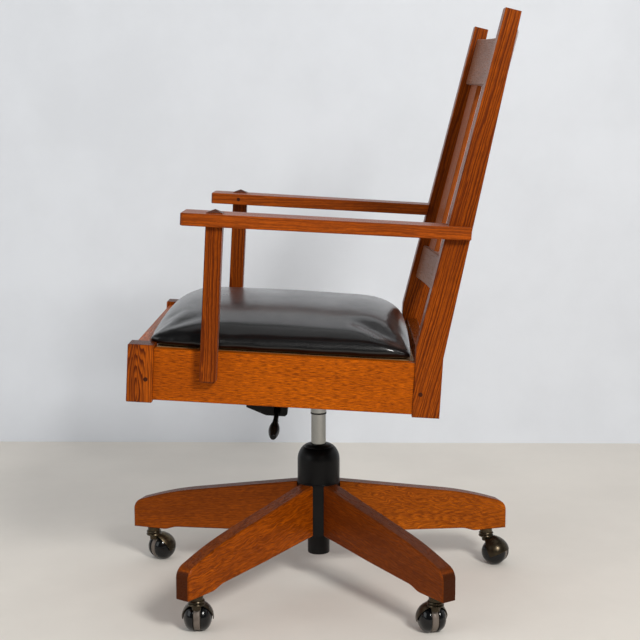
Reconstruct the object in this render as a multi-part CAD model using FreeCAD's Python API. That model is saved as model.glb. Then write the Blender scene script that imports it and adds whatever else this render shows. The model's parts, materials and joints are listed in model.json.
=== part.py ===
import FreeCAD, Part
import os
from math import asin, cos, degrees, pi, radians, sin, sqrt, tan

V = FreeCAD.Vector

# Lean of the seat: in its own axes x is to the sitter's left, y to the rear, z up from under the rails
seat_pitch = 3.17

# General clearances
running_clearance = 0.06
body_gap = 0.4
soft_gap = 0.3
edge_ease = 1.3

# How far a cut runs past what it opens, and how near counts as the same
over = 10.0
tiny = 1e-6

# Sides of the pieces that are drawn with flats, to keep their faces few
bolt_sides = 6
peg_sides = 8
ring_sides = 12
axle_sides = 16
wheel_sides = 20
column_sides = 24
bell_sides = 36

# Seat rails
rail_height = 88.0
rail_thick = 22.0
side_rail_outer_x = 271.0
front_rail_inset = 5.0
back_rail_inset = 9.0
tenon_thick = 10.0
tenon_shoulder = 12.0
side_tenon_length = 28.0
end_tenon_length = 16.0

# Posts
post_drop = 4.0
front_post_outer_x = 278.0
front_post_width = 43.0
front_post_depth = 44.0
front_post_rise = 7.0
front_post_y = -321.0
rear_post_outer_x = 275.0
rear_post_width = 38.0
rear_post_y = 163.0
rear_post_depth = 46.3
rear_post_top_depth = 26.5
rear_bend_front_z = 116.0
rear_bend_rear_z = 99.0
back_lean = 10.8
back_top_z = 679.6
peg_radius = 3.8
peg_length = 22.0
peg_proud = 0.5
peg_inset = 12.0
peg_height = 36.0

# Back: crest rail, lower rail and slats, laid out along the lean of the posts
back_rail_thick = 20.0
back_rail_setback = 10.5
back_bow = 22.0
crest_height = 89.6
crest_drop = 23.4
lower_rail_height = 65.7
lower_rail_rise = 61.8
back_tenon_length = 16.0
back_tenon_thick = 9.0
slat_count = 5
slat_width = 51.0
slat_thick = 9.5
slat_ease = 0.65
slat_pitch = 96.0
slat_tenon = 9.0

# Arms and their supports
arm_underside_z = 301.5
arm_thick = 21.0
arm_front_y = -238.0
arm_rear_y = 240.0
arm_inner_x = 227.0
arm_front_outer_x = 312.0
arm_rear_outer_x = 292.0
arm_corner = 7.0
support_outer_x = 297.0
support_thick = 30.0
support_width = 28.0
support_front_y = -197.0
support_bottom_z = 39.0
support_bevel = 3.0
tenon_cap_base = 1.2
tenon_cap_height = 7.0
arm_pin_radius = 3.8
arm_pin_length = 56.0
arm_dowel_length = 30.0
arm_dowel_inset = 19.0

# Inside the seat frame
seat_board_thick = 12.0
seat_board_gap = 1.0
block_leg = 45.0
block_height = 46.0
batten_width = 45.0
batten_height = 28.0
front_batten_y = -150.0
rear_batten_y = 95.0

# Cushion: half widths and heights above the rails
cushion_half_width = 258.0
cushion_side_bulge = 5.0
cushion_shoulder_in = 8.0
cushion_shoulder = 31.0
cushion_crown = 59.5
cushion_dome = 3.0
cushion_front_y = -298.0
cushion_rear_y = 162.0
cushion_front_height = 13.0
cushion_rear_height = 16.0
cushion_front_roll = 98.0
cushion_rear_roll = 68.0
cushion_end_draw = 12.0
cushion_roll_steps = 5
cushion_roll_start = 9.0
cushion_post_gap = 0.6

# Tilt mechanism, in the seat's own axes
axle_y = -91.0
axle_z = -33.0
axle_radius = 8.0
axle_head_radius = 10.5
axle_head = 3.0
housing_half_width = 80.0
housing_wall = 3.0
housing_front_y = -129.0
housing_rear_y = -53.0
housing_floor_z = -59.5
housing_front_floor_z = -46.0
housing_front_top_z = -8.0
housing_rear_top_z = -16.0
housing_floor_front_y = -92.0
housing_corner = 4.0
web_half_width = 24.0
web_bottom_z = -50.0
web_top_z = -42.0
boss_radius = 26.0
boss_length = 13.0
tube_top_drop = 38.0
spring_radius = 21.0
spring_lever_gap = 9.5
plate_thick = 3.0
plate_front_y = -150.0
plate_rear_y = 140.0
plate_corner = 7.5
plate_side_rim = 26.5
plate_window_front_y = -46.0
plate_window_rear_y = 62.0
ear_gap = 0.5
ear_thick = 4.0
ear_radius = 12.0
ear_top_half = 26.0
screw_radius = 3.0
screw_head_radius = 5.0
screw_head = 3.0
screw_depth = 22.0
screw_inset = 15.0
screw_side_inset = 12.5

# Tension knob under the housing
knob_radius = 17.0
knob_height = 12.0
knob_gap = 1.2
knob_notch_radius = 14.0
knob_y = -74.0
knob_bolt_radius = 4.0
knob_bolt_length = 6.0
knob_points = 8

# Release lever, its pivot and the gas valve's pin
lever_y = -72.0
lever_rod_radius = 4.5
lever_rod_z = -50.0
lever_grip_end_x = 215.0
lever_grip_start_x = 150.0
lever_grip_z = -67.0
lever_neck_radius = 5.3
lever_neck_share = 0.12
lever_waist_radius = 5.0
lever_bulb_radius = 8.7
lever_bulb_share = 0.68
lever_tip_radius = 4.6
lever_socket_depth = 11.0
lever_pivot_inset = 16.5
lever_pivot_z = -40.0
lever_pivot_radius = 3.0
lever_boss_radius = 6.0
lever_pin_proud = 1.0
lever_step_inset = 6.0
lever_plate_thick = 3.0
lever_plate_top_z = -27.5
lever_plate_bottom_z = -53.0
lever_foot_half = 6.0
lever_travel_gap = 3.0
lever_slot_gap = 1.5
valve_pin_radius = 3.0
valve_gap = 0.5
valve_pin_depth = 14.0

# Gas lift
gas_tube_radius = 14.0
gas_tube_bore = 11.5
gas_tube_bottom_z = 140.0
gas_tube_plug = 12.0
gas_tube_crown = 8.0
gas_tube_seal = 1.0
tube_collar_radius = 14.9
tube_collar_height = 17.0
tube_exposed = 75.1
piston_rod_radius = 5.0
piston_head_room = 52.0
piston_head = 8.0
piston_shoulder_radius = 8.0
piston_shoulder = 4.0
clip_radius = 9.0
clip_thick = 2.0
clip_gap = 0.8
bearing_radius = 12.0
bearing_thick = 6.0
column_radius = 25.0
column_wall = 3.0
column_top_drop = 19.0
column_foot_length = 42.0
column_foot_radius = 19.7
column_foot_taper = 9.0
column_floor = 7.0
column_clip_recess = 3.0
bushing_length = 60.0

# Bell cover over the column
bell_height = 75.2
bell_lip_radius = 40.8
bell_lip = 3.0
bell_radius = 38.7
bell_dome_height = 36.0
bell_dome_steps = 5
bell_top_radius = 18.0
bell_wall = 2.0
bell_hole_gap = 0.8

# Five-legged base
leg_count = 5
hub_radius = 38.2
hub_wall = 4.5
hub_height = 96.7
hub_rise = 26.0
hub_plate = 7.0
leg_thick = 30.0
leg_end_r = 386.0
leg_pad_z = 71.0
leg_pad_length = 68.0
leg_root_inset = 12.7
leg_root_rise = 3.8
leg_root_lift = 1.0
leg_knee_inset = 81.0
leg_knee_rise = 79.1
leg_knee_round = 686.0
leg_toe_rise = 52.3
leg_toe_round = 22.6
leg_pad_round = 30.0
leg_arch_reach = 21.0
leg_arch_rise = 7.0
leg_arch_round = 40.0
leg_belly_inset = 210.0
leg_belly_rise = 14.6
leg_belly_round = 300.0
leg_ease = 2.0
bolt_radius = 4.0
bolt_head_radius = 6.0
bolt_head = 5.0
bolt_length = 62.0
bolt_inset = 21.4

# Casters
caster_inset = 36.0
socket_radius = 7.5
socket_depth = 40.0
stem_radius = 5.5
stem_length = 36.0
neck_radius = 16.3
neck_waist_radius = 13.5
neck_ring_drop = 9.0
neck_waist = 3.0
neck_length = 25.0
trail = 20.0
wheel_radius = 25.0
wheel_inner_y = 6.6
wheel_tread_y = 12.0
wheel_face_y = 25.0
wheel_face_radius = 12.0
wheel_bore_gap = 0.3
caster_web_y = 6.0
caster_web_radius = 23.5
caster_axle_radius = 3.0
hood_gap = 2.0
hood_wall = 2.0
hood_side_y = 27.5
hood_side_radius = 16.0
hood_open_rise = 5.0

# Direction that each caster trails, in degrees from +x, starting at the leg on the -x side
caster_heading = [20.0, 135.0, 180.0, 195.0, 63.0]

# Derived levels and places
rail_inner_x = side_rail_outer_x - rail_thick
front_post_inner_x = front_post_outer_x - front_post_width
front_post_rear_y = front_post_y + front_post_depth
rear_post_inner_x = rear_post_outer_x - rear_post_width
front_rail_y = front_post_y + front_rail_inset
back_rail_y = rear_post_y + back_rail_inset
post_rise_z = rail_height + front_post_rise
arm_top_z = arm_underside_z + arm_thick
back_length = (back_top_z - rear_bend_front_z) / cos(radians(back_lean))
crest_bottom_v = back_length - crest_drop - crest_height
hub_bottom_z = leg_pad_z + hub_rise
hub_top_z = hub_bottom_z + hub_height
bell_bottom_z = hub_top_z
bell_top_z = bell_bottom_z + bell_height
boss_bottom_z = bell_top_z + tube_exposed
tube_top_z = boss_bottom_z + boss_length
seat_height = tube_top_z + tube_top_drop
column_bottom_z = hub_bottom_z - column_foot_length
column_foot_top_z = hub_bottom_z - column_foot_taper
column_top_z = bell_top_z - column_top_drop
valve_top_z = seat_height + lever_plate_top_z - lever_plate_thick - valve_gap
piston_rod_top_z = tube_top_z - gas_tube_crown - valve_pin_depth - piston_head_room
leg_pad_inner_r = leg_end_r - leg_pad_length
leg_arch_r = leg_pad_inner_r - leg_arch_reach
leg_belly_r = leg_end_r - leg_belly_inset
leg_knee_r = leg_end_r - leg_knee_inset
caster_r = leg_end_r - caster_inset
neck_bottom_z = leg_pad_z - neck_length
hood_open_z = wheel_radius + hood_open_rise
bell_hole_radius = gas_tube_radius + bell_hole_gap
plate_half = housing_half_width + ear_gap + ear_thick
plate_window_half = plate_half - plate_side_rim
screw_x = plate_half - screw_side_inset
lever_pivot_x = housing_half_width - lever_pivot_inset
spring_half_length = lever_pivot_x - spring_lever_gap


def slab(x, y, z):
    size = [high - low for low, high in (x, y, z)]
    return Part.makeBox(size[0], size[1], size[2], V(x[0], y[0], z[0]))


def extruded(edges, push):
    return Part.Face(Part.Wire(edges)).extrude(push)


def prism(points, push):
    return extruded(Part.makePolygon(points + points[:1]).Edges, push)


def side_prism(outline, x0, x1):
    return prism([V(x0, y, z) for y, z in outline], V(x1 - x0, 0, 0))


def plan_prism(outline, z0, z1):
    return prism([V(x, y, z0) for x, y in outline], V(0, 0, z1 - z0))


def rod(radius, start, end):
    return Part.makeCylinder(radius, (end - start).Length, start, end - start)


def flat_face(points):
    return Part.Face(Part.makePolygon(points + points[:1]))


def corners_round(radius, level, sides):
    turns = [2 * pi * (k + 0.5) / sides for k in range(sides)]
    return [V(radius * cos(turn), radius * sin(turn), level) for turn in turns]


def drum(stations, sides):
    loops = [corners_round(radius, level, sides) for radius, level in stations]
    faces = [flat_face(loops[0]), flat_face(loops[-1])]
    for low, high in zip(loops, loops[1:]):
        faces += [flat_face([low[k - 1], low[k], high[k], high[k - 1]]) for k in range(sides)]
    body = Part.Solid(Part.Shell(faces))
    return body if body.Volume > 0 else body.reversed()


def flat_rod(radius, start, end, sides):
    body = drum([(radius, 0), (radius, (end - start).Length)], sides)
    body.Placement = FreeCAD.Placement(start, FreeCAD.Rotation(V(0, 0, 1), end - start))
    return body


def upright_bore(radius, z0, z1, sides):
    corner = radius / cos(pi / sides)
    return drum([(corner, z0), (corner, z1)], sides)


def flat_bore(radius, start, end, sides):
    return flat_rod(radius / cos(pi / sides), start, end, sides)


def nut(inner, outer, z0, z1, sides):
    return drum([(outer, z0), (outer, z1)], sides).cut(upright_bore(inner, z0, z1, sides))


def arc(start, middle, end):
    return Part.Arc(start, middle, end).toShape()


def line(start, end):
    return Part.LineSegment(start, end).toShape()


def eased(shape, size, keep):
    chosen = [edge for edge in shape.Edges if keep(edge)]
    return shape.makeChamfer(size, chosen)


def along(axis):
    def keep(edge):
        run = edge.Vertexes[-1].Point - edge.Vertexes[0].Point
        return run.Length > 0 and abs(abs(run.normalize().dot(axis)) - 1.0) < tiny
    return keep


def in_side_faces(edge):
    run = edge.Vertexes[-1].Point - edge.Vertexes[0].Point
    return abs(run.x) < tiny


def seat_place(shape):
    placed = shape.copy()
    placed.rotate(V(0, 0, 0), V(1, 0, 0), -seat_pitch)
    placed.translate(V(0, 0, seat_height))
    return placed


def back_place(shape):
    placed = shape.copy()
    placed.rotate(V(0, 0, 0), V(1, 0, 0), -back_lean)
    placed.translate(V(0, rear_post_y, rear_bend_front_z))
    return placed


def mirrored(shape):
    return shape.mirror(V(0, 0, 0), V(1, 0, 0))


def both_sides(shape):
    return Part.Compound([shape, mirrored(shape)])


def save(node, shape):
    solids = shape.Solids
    whole = solids[0] if len(solids) == 1 else Part.Compound(solids)
    whole.exportStep("parts/" + node + ".step")
    print(node, len(solids), round(whole.Volume / 1000.0, 1), whole.isValid())


# Joinery of the seat frame
def side_tenons():
    middle = side_rail_outer_x - rail_thick / 2
    x = (middle - tenon_thick / 2, middle + tenon_thick / 2)
    z = (tenon_shoulder, rail_height - tenon_shoulder)
    front = slab(x, (front_post_rear_y - side_tenon_length, front_post_rear_y), z)
    rear = slab(x, (rear_post_y, rear_post_y + side_tenon_length), z)
    return [front, rear]


def cross_tenon(inner_x, rail_y):
    y = rail_y + rail_thick / 2
    z = (tenon_shoulder, rail_height - tenon_shoulder)
    return slab((inner_x, inner_x + end_tenon_length), (y - tenon_thick / 2, y + tenon_thick / 2), z)


def peg(post_outer_x, y):
    start = V(post_outer_x + peg_proud, y, peg_height)
    return flat_rod(peg_radius, start, start - V(peg_length, 0, 0), peg_sides)


def front_peg():
    return peg(front_post_outer_x, front_post_rear_y - peg_inset)


def rear_peg():
    return peg(rear_post_outer_x, rear_post_y + peg_inset)


def arm_support():
    x = (support_outer_x - support_thick, support_outer_x)
    y = (support_front_y, support_front_y + support_width)
    stem = slab(x, y, (support_bottom_z, arm_top_z + tenon_cap_base))
    low = [e for e in stem.Edges if e.BoundBox.ZMax < support_bottom_z + tiny]
    stem = stem.makeChamfer(support_bevel, low)
    stem = eased(stem, edge_ease, along(V(0, 0, 1)))
    base = arm_top_z + tenon_cap_base
    corners = [V(x[0], y[0], base), V(x[1], y[0], base), V(x[1], y[1], base), V(x[0], y[1], base)]
    apex = V(sum(x) / 2, sum(y) / 2, arm_top_z + tenon_cap_height)
    slopes = [flat_face([corners[i - 1], corners[i], apex]) for i in range(len(corners))]
    cap = Part.Solid(Part.Shell([flat_face(corners)] + slopes))
    outline = slab(x, y, (base - tenon_cap_base, base + tenon_cap_height))
    outline = eased(outline, edge_ease, along(V(0, 0, 1)))
    return stem.fuse(cap.common(outline))


def arm_pin():
    start = V(arm_inner_x - peg_proud, support_front_y + support_width / 2, arm_underside_z + arm_thick / 2)
    return flat_rod(arm_pin_radius, start, start + V(arm_pin_length, 0, 0), peg_sides)


def post_front_y(z):
    return rear_post_y + (z - rear_bend_front_z) * tan(radians(back_lean))


def arm_dowel():
    z = arm_underside_z + arm_thick / 2
    middle = V(rear_post_inner_x + arm_dowel_inset, post_front_y(z), z)
    half = V(0, arm_dowel_length / 2, 0)
    return flat_rod(arm_pin_radius, middle - half, middle + half, peg_sides)


def front_post():
    x = (front_post_inner_x, front_post_outer_x)
    y = (front_post_y, front_post_rear_y)
    body = slab(x, y, (-post_drop, post_rise_z))
    body = body.makeChamfer(edge_ease, body.Edges)
    cuts = [side_tenons()[0], cross_tenon(front_post_inner_x, front_rail_y), front_peg()]
    return body.cut(cuts)


def rear_post():
    lean = radians(back_lean)
    top_y = post_front_y(back_top_z)
    rear_y = rear_post_y + rear_post_depth
    outline = [(rear_post_y, -post_drop), (rear_post_y, rear_bend_front_z), (top_y, back_top_z)]
    outline += [(top_y + rear_post_top_depth * cos(lean), back_top_z - rear_post_top_depth * sin(lean))]
    outline += [(rear_y, rear_bend_rear_z), (rear_y, -post_drop)]
    body = side_prism(outline, rear_post_inner_x, rear_post_outer_x)
    body = eased(body, edge_ease, in_side_faces)
    cuts = [side_tenons()[1], cross_tenon(rear_post_inner_x, back_rail_y), rear_peg(), arm_dowel()]
    cuts += [back_place(tenon) for tenon in back_tenons()]
    return body.cut(cuts)


def side_rail():
    x = (rail_inner_x, side_rail_outer_x)
    body = slab(x, (front_post_rear_y, rear_post_y), (0, rail_height))
    body = eased(body, edge_ease, along(V(0, 1, 0)))
    body = body.fuse(side_tenons())
    return body.cut([arm_support(), front_peg(), rear_peg()])


def cross_rail(inner_x, rail_y):
    body = slab((-inner_x, inner_x), (rail_y, rail_y + rail_thick), (0, rail_height))
    body = eased(body, edge_ease, along(V(1, 0, 0)))
    tenon = cross_tenon(inner_x, rail_y)
    return body.fuse([tenon, mirrored(tenon)])


# Back: pieces laid out with y square to the lean and z along it
def bow_radius():
    half = rear_post_inner_x
    return (half * half + back_bow * back_bow) / (2 * back_bow)


def bowed_rail(v0, v1):
    half = rear_post_inner_x
    front = back_rail_setback
    rear = back_rail_setback + back_rail_thick
    edges = [arc(V(-half, front, v0), V(0, front + back_bow, v0), V(half, front, v0))]
    edges += [line(V(half, front, v0), V(half, rear, v0))]
    edges += [arc(V(half, rear, v0), V(0, rear + back_bow, v0), V(-half, rear, v0))]
    edges += [line(V(-half, rear, v0), V(-half, front, v0))]
    body = extruded(edges, V(0, 0, v1 - v0))
    return eased(body, edge_ease, lambda edge: edge.Length > half)


def back_tenon(v0, v1):
    y = back_rail_setback + back_rail_thick / 2
    x = (rear_post_inner_x, rear_post_inner_x + back_tenon_length)
    inset = tenon_shoulder
    return slab(x, (y - back_tenon_thick / 2, y + back_tenon_thick / 2), (v0 + inset, v1 - inset))


def back_tenons():
    lower = back_tenon(lower_rail_rise, lower_rail_rise + lower_rail_height)
    crest = back_tenon(crest_bottom_v, crest_bottom_v + crest_height)
    return [lower, crest]


def slat_centres():
    return [(i - (slat_count - 1) / 2) * slat_pitch for i in range(slat_count)]


def slat(x):
    radius = bow_radius()
    mid_y = back_rail_setback + back_rail_thick / 2 + back_bow - radius + sqrt(radius * radius - x * x)
    low = lower_rail_rise + lower_rail_height - slat_tenon
    high = crest_bottom_v + slat_tenon
    half = slat_width / 2
    body = slab((-half, half), (-slat_thick / 2, slat_thick / 2), (low, high))
    body = eased(body, slat_ease, along(V(0, 0, 1)))
    body.rotate(V(0, 0, 0), V(0, 0, 1), -degrees(asin(x / radius)))
    body.translate(V(x, mid_y, 0))
    return body


def back_member(v0, v1, tenon):
    body = bowed_rail(v0, v1).fuse([tenon, mirrored(tenon)])
    return body.cut([slat(x) for x in slat_centres()])


# Arms
def arm():
    outline = [(arm_inner_x, arm_front_y), (arm_front_outer_x, arm_front_y), (arm_rear_outer_x, arm_rear_y)]
    outline += [(arm_inner_x, arm_rear_y)]
    board = plan_prism(outline, arm_underside_z, arm_top_z)
    upright = [e for e in board.Edges if e.BoundBox.ZLength > arm_thick / 2]
    board = board.makeFillet(arm_corner, [e for e in upright if e.BoundBox.YMax < arm_front_y + tiny])
    flat = [e for e in board.Edges if e.BoundBox.ZLength < tiny]
    board = board.makeChamfer(edge_ease, flat)
    deep = arm_rear_y + rear_post_depth
    notch = [(post_front_y(0), 0), (post_front_y(back_top_z), back_top_z)]
    notch += [(deep + back_top_z, back_top_z), (deep, 0)]
    board = board.cut(side_prism(notch, arm_inner_x - over, rear_post_outer_x))
    return board.cut([arm_support(), arm_pin(), arm_dowel()])


# Inside the seat frame
def corner_block(x_rail, x_post, y_post, y_rail, inward):
    outline = [(x_rail, y_post), (x_rail, y_post + inward * block_leg), (x_post - block_leg, y_rail)]
    outline += [(x_post, y_rail), (x_post, y_post)]
    top = rail_height - seat_board_thick
    return plan_prism(outline, top - block_height, top)


def corner_blocks():
    front_y = front_rail_y + rail_thick
    front = corner_block(rail_inner_x, front_post_inner_x, front_post_rear_y, front_y, 1)
    rear = corner_block(rail_inner_x, rear_post_inner_x, rear_post_y, back_rail_y, -1)
    return Part.Compound([front, mirrored(front), rear, mirrored(rear)])


def seat_board():
    half = rail_inner_x - seat_board_gap
    y = (front_post_rear_y + seat_board_gap, rear_post_y - seat_board_gap)
    return slab((-half, half), y, (rail_height - seat_board_thick, rail_height))


def batten(y):
    return slab((-rail_inner_x, rail_inner_x), (y, y + batten_width), (0, batten_height))


def battens():
    return Part.Compound([batten(front_batten_y), batten(rear_batten_y)])


# Cushion: cross-sections from front to rear, each with a flat foot, full sides and a crown
def cushion_section(y, fill, end_height, dome):
    foot = rail_height + soft_gap
    half = cushion_half_width - cushion_end_draw * (1 - fill)
    shoulder = foot + end_height / 2 + (cushion_shoulder - end_height / 2) * fill
    crown = foot + end_height + (cushion_crown - end_height) * fill + dome
    shoulder_x = half - cushion_shoulder_in * fill
    side_x = half + cushion_side_bulge * fill
    side_z = (foot + shoulder) / 2
    low_left = V(-half, y, foot)
    low_right = V(half, y, foot)
    top_right = V(shoulder_x, y, shoulder)
    top_left = V(-shoulder_x, y, shoulder)
    edges = [line(low_left, low_right), arc(low_right, V(side_x, y, side_z), top_right)]
    edges += [arc(top_right, V(0, y, crown), top_left), arc(top_left, V(-side_x, y, side_z), low_left)]
    return Part.Wire(edges)


def cushion_roll(end_y, reach, end_height):
    sections = []
    start = radians(cushion_roll_start)
    for i in range(cushion_roll_steps):
        turn = start + (radians(90.0) - start) * i / (cushion_roll_steps - 1)
        y = end_y + reach * (1 - cos(turn) / cos(start))
        sections.append(cushion_section(y, sin(turn), end_height, 0))
    return sections


def cushion():
    front = cushion_roll(cushion_front_y, cushion_front_roll, cushion_front_height)
    rear = cushion_roll(cushion_rear_y, -cushion_rear_roll, cushion_rear_height)
    flat_front = cushion_front_y + cushion_front_roll
    flat_rear = cushion_rear_y - cushion_rear_roll
    middle = cushion_section((flat_front + flat_rear) / 2, 1.0, cushion_front_height, cushion_dome)
    body = Part.makeLoft(front + [middle] + rear[::-1], True, True)
    gap = cushion_post_gap
    x = (front_post_inner_x - gap, front_post_outer_x + gap)
    y = (front_post_y - gap, front_post_rear_y + gap)
    corner = slab(x, y, (-post_drop, post_rise_z + gap))
    return body.cut([corner, mirrored(corner)])


# Tilt mechanism
def housing_outline(inset, top_extra):
    front = housing_front_y + inset
    rear = housing_rear_y - inset
    floor = housing_floor_z + inset
    outline = [(front, housing_front_top_z + top_extra), (front, housing_front_floor_z + inset)]
    outline += [(housing_floor_front_y, floor), (rear - housing_corner, floor)]
    outline += [(rear, floor + housing_corner)]
    outline += [(rear, housing_rear_top_z + top_extra)]
    return outline


def level_drum(corner, z0, z1):
    body = drum([(corner, z0), (corner, z1)], column_sides)
    body.translate(V(0, 0, -seat_height))
    body.rotate(V(0, 0, 0), V(1, 0, 0), seat_pitch)
    return body


def lever_wall_slot():
    x = (housing_half_width - over, housing_half_width + over)
    reach = lever_rod_radius + lever_travel_gap / 2
    low = housing_floor_z + housing_wall
    return slab(x, (lever_y - reach, lever_y + reach), (low, lever_rod_z + reach + lever_travel_gap))


def lever_rear_slot():
    reach = lever_plate_thick / 2 + lever_travel_gap
    x = (lever_pivot_x - reach, lever_pivot_x + reach)
    y = (housing_rear_y - over, housing_rear_y + over)
    return slab(x, y, (lever_pivot_z + lever_boss_radius - lever_slot_gap, 0))


def tilt_housing():
    half = housing_half_width
    pan = side_prism(housing_outline(0, 0), -half, half)
    inner = half - housing_wall
    room = side_prism(housing_outline(housing_wall, over), -inner, inner)
    pan = pan.cut(room)
    web = slab((-web_half_width, web_half_width), (housing_rear_y, 0), (web_bottom_z, web_top_z))
    boss = level_drum(boss_radius, boss_bottom_z, tube_top_z)
    body = pan.fuse([web, boss])
    tube_seat = (gas_tube_radius + running_clearance) / cos(pi / column_sides)
    cuts = [level_drum(tube_seat, 0, seat_height)]
    reach = half + over
    cuts += [axle_bore(axle_radius + running_clearance, reach)]
    cuts += [lever_wall_slot(), lever_rear_slot()]
    low = V(0, knob_y, housing_floor_z - over)
    cuts += [flat_bore(knob_bolt_radius + running_clearance, low, low + V(0, 0, 2 * over), ring_sides)]
    cuts += [flat_bore(lever_pivot_radius + running_clearance, pivot_end(-1), pivot_end(1), ring_sides)]
    return body.cut(cuts).removeSplitter()


def pivot_end(side):
    if side < 0:
        return V(lever_pivot_x, lever_y - lever_rod_radius, lever_pivot_z)
    return V(lever_pivot_x, housing_rear_y + lever_pin_proud, lever_pivot_z)


def axle_bore(radius, reach):
    return flat_bore(radius, V(-reach, axle_y, axle_z), V(reach, axle_y, axle_z), axle_sides)


def axle_shaft(reach):
    return flat_rod(axle_radius, V(-reach, axle_y, axle_z), V(reach, axle_y, axle_z), axle_sides)


def tilt_axle():
    reach = plate_half + body_gap
    shaft = axle_shaft(reach)
    end = V(reach + axle_head, axle_y, axle_z)
    head = flat_rod(axle_head_radius, V(reach, axle_y, axle_z), end, peg_sides)
    return shaft.fuse([head, mirrored(head)])


def tilt_spring():
    x = spring_half_length
    sleeve = flat_rod(spring_radius, V(-x, axle_y, axle_z), V(x, axle_y, axle_z), peg_sides)
    return sleeve.cut(axle_bore(axle_radius + body_gap, x))


def ear():
    x0 = housing_half_width + ear_gap
    top = -plate_thick / 2
    outline = [(axle_y - ear_top_half, top), (axle_y - ear_radius, axle_z)]
    outline += [(axle_y + ear_radius, axle_z), (axle_y + ear_top_half, top)]
    body = side_prism(outline, x0, x0 + ear_thick)
    tip = rod(ear_radius, V(x0, axle_y, axle_z), V(x0 + ear_thick, axle_y, axle_z))
    return body.fuse(tip).cut(axle_shaft(x0 + ear_thick + over))


def tilt_plate():
    plate = slab((-plate_half, plate_half), (plate_front_y, plate_rear_y), (-plate_thick, 0))
    corners = [e for e in plate.Edges if e.BoundBox.ZLength > plate_thick / 2]
    plate = plate.makeChamfer(plate_corner, corners)
    window_x = (-plate_window_half, plate_window_half)
    window = slab(window_x, (plate_window_front_y, plate_window_rear_y), (-plate_thick - over, over))
    body = plate.cut(window).fuse([ear(), mirrored(ear())])
    return body.cut(plate_screws()).removeSplitter()


def plate_screw(x, y):
    under = V(x, y, -plate_thick)
    shank = flat_rod(screw_radius, under, V(x, y, screw_depth), bolt_sides)
    return shank.fuse(flat_rod(screw_head_radius, under - V(0, 0, screw_head), under, bolt_sides))


def plate_screws():
    front = plate_front_y + screw_inset
    rear = plate_rear_y - screw_inset
    places = [(x, y) for y in (front, rear) for x in (-screw_x, screw_x)]
    return [plate_screw(x, y) for x, y in places]


# Tension knob
def tension_knob():
    top = housing_floor_z - knob_gap
    star = []
    for k in range(2 * knob_points):
        reach = knob_radius if k % 2 == 0 else knob_notch_radius
        star.append((reach * cos(pi * k / knob_points), knob_y + reach * sin(pi * k / knob_points)))
    foot = V(0, knob_y, top)
    bolt = flat_rod(knob_bolt_radius, foot, foot + V(0, 0, knob_bolt_length + knob_gap), ring_sides)
    return plan_prism(star, top - knob_height, top).fuse(bolt)


# Release lever
def release_lever():
    t = lever_plate_thick / 2
    x = (lever_pivot_x - t, lever_pivot_x + t)
    rear_y = lever_foot_half
    front_y = lever_y - lever_rod_radius
    low = lever_plate_bottom_z
    step = lever_pivot_z + lever_boss_radius
    top = lever_plate_top_z
    step_y = housing_rear_y - lever_step_inset
    outline = [(front_y, top), (front_y, low), (step_y, low), (step_y, step), (rear_y, step), (rear_y, top)]
    plate = side_prism(outline, x[0], x[1])
    foot_z = (top - lever_plate_thick, top)
    foot = slab((-lever_foot_half, x[0]), (-lever_foot_half, lever_foot_half), foot_z)
    boss_rear = housing_rear_y - housing_wall - body_gap
    pivot = V(lever_pivot_x, 0, lever_pivot_z)
    boss = flat_rod(lever_boss_radius, pivot + V(0, front_y, 0), pivot + V(0, boss_rear, 0), ring_sides)
    shank = flat_rod(lever_rod_radius, V(lever_pivot_x, lever_y, lever_rod_z), lever_rod_end(), ring_sides)
    body = plate.fuse([foot, boss, shank])
    front = pivot_end(-1) - V(0, over, 0)
    bore = flat_bore(lever_pivot_radius + running_clearance, front, pivot_end(1), ring_sides)
    return body.cut(bore)


def lever_rod_end():
    x = lever_grip_start_x + lever_socket_depth
    return V(x, lever_y, lever_grip_line(x))


def lever_grip_line(x):
    share = (x - lever_pivot_x) / (lever_grip_end_x - lever_pivot_x)
    return lever_rod_z + (lever_grip_z - lever_rod_z) * share


def lever_grip():
    start = V(lever_grip_start_x, lever_y, lever_grip_line(lever_grip_start_x))
    end = V(lever_grip_end_x, lever_y, lever_grip_z)
    length = (end - start).Length
    stations = [(lever_neck_radius, 0), (lever_waist_radius, length * lever_neck_share)]
    stations += [(lever_bulb_radius, length * lever_bulb_share), (lever_tip_radius, length)]
    body = drum(stations, ring_sides)
    body.Placement = FreeCAD.Placement(start, FreeCAD.Rotation(V(0, 0, 1), end - start))
    return body.cut(release_lever())


def lever_pin():
    return flat_rod(lever_pivot_radius, pivot_end(-1), pivot_end(1), ring_sides)


# Gas lift, upright on the chair's axis
def valve_pin():
    bottom = tube_top_z - valve_pin_depth
    return drum([(valve_pin_radius, bottom), (valve_pin_radius, valve_top_z)], ring_sides)


def gas_tube():
    bottom = gas_tube_bottom_z
    body = Part.makeCylinder(gas_tube_radius, tube_top_z - bottom, V(0, 0, bottom))
    collar_z = boss_bottom_z - tube_collar_height
    body = body.fuse(Part.makeCylinder(tube_collar_radius, tube_collar_height, V(0, 0, collar_z)))
    roof = tube_top_z - gas_tube_crown - valve_pin_depth
    plug_top = bottom + gas_tube_plug
    chamber = upright_bore(gas_tube_bore, plug_top, roof, ring_sides)
    seal = upright_bore(piston_rod_radius + running_clearance, bottom, plug_top, ring_sides)
    valve = upright_bore(valve_pin_radius + running_clearance, roof + gas_tube_seal, tube_top_z, ring_sides)
    return body.cut([chamber, seal, valve])


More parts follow.
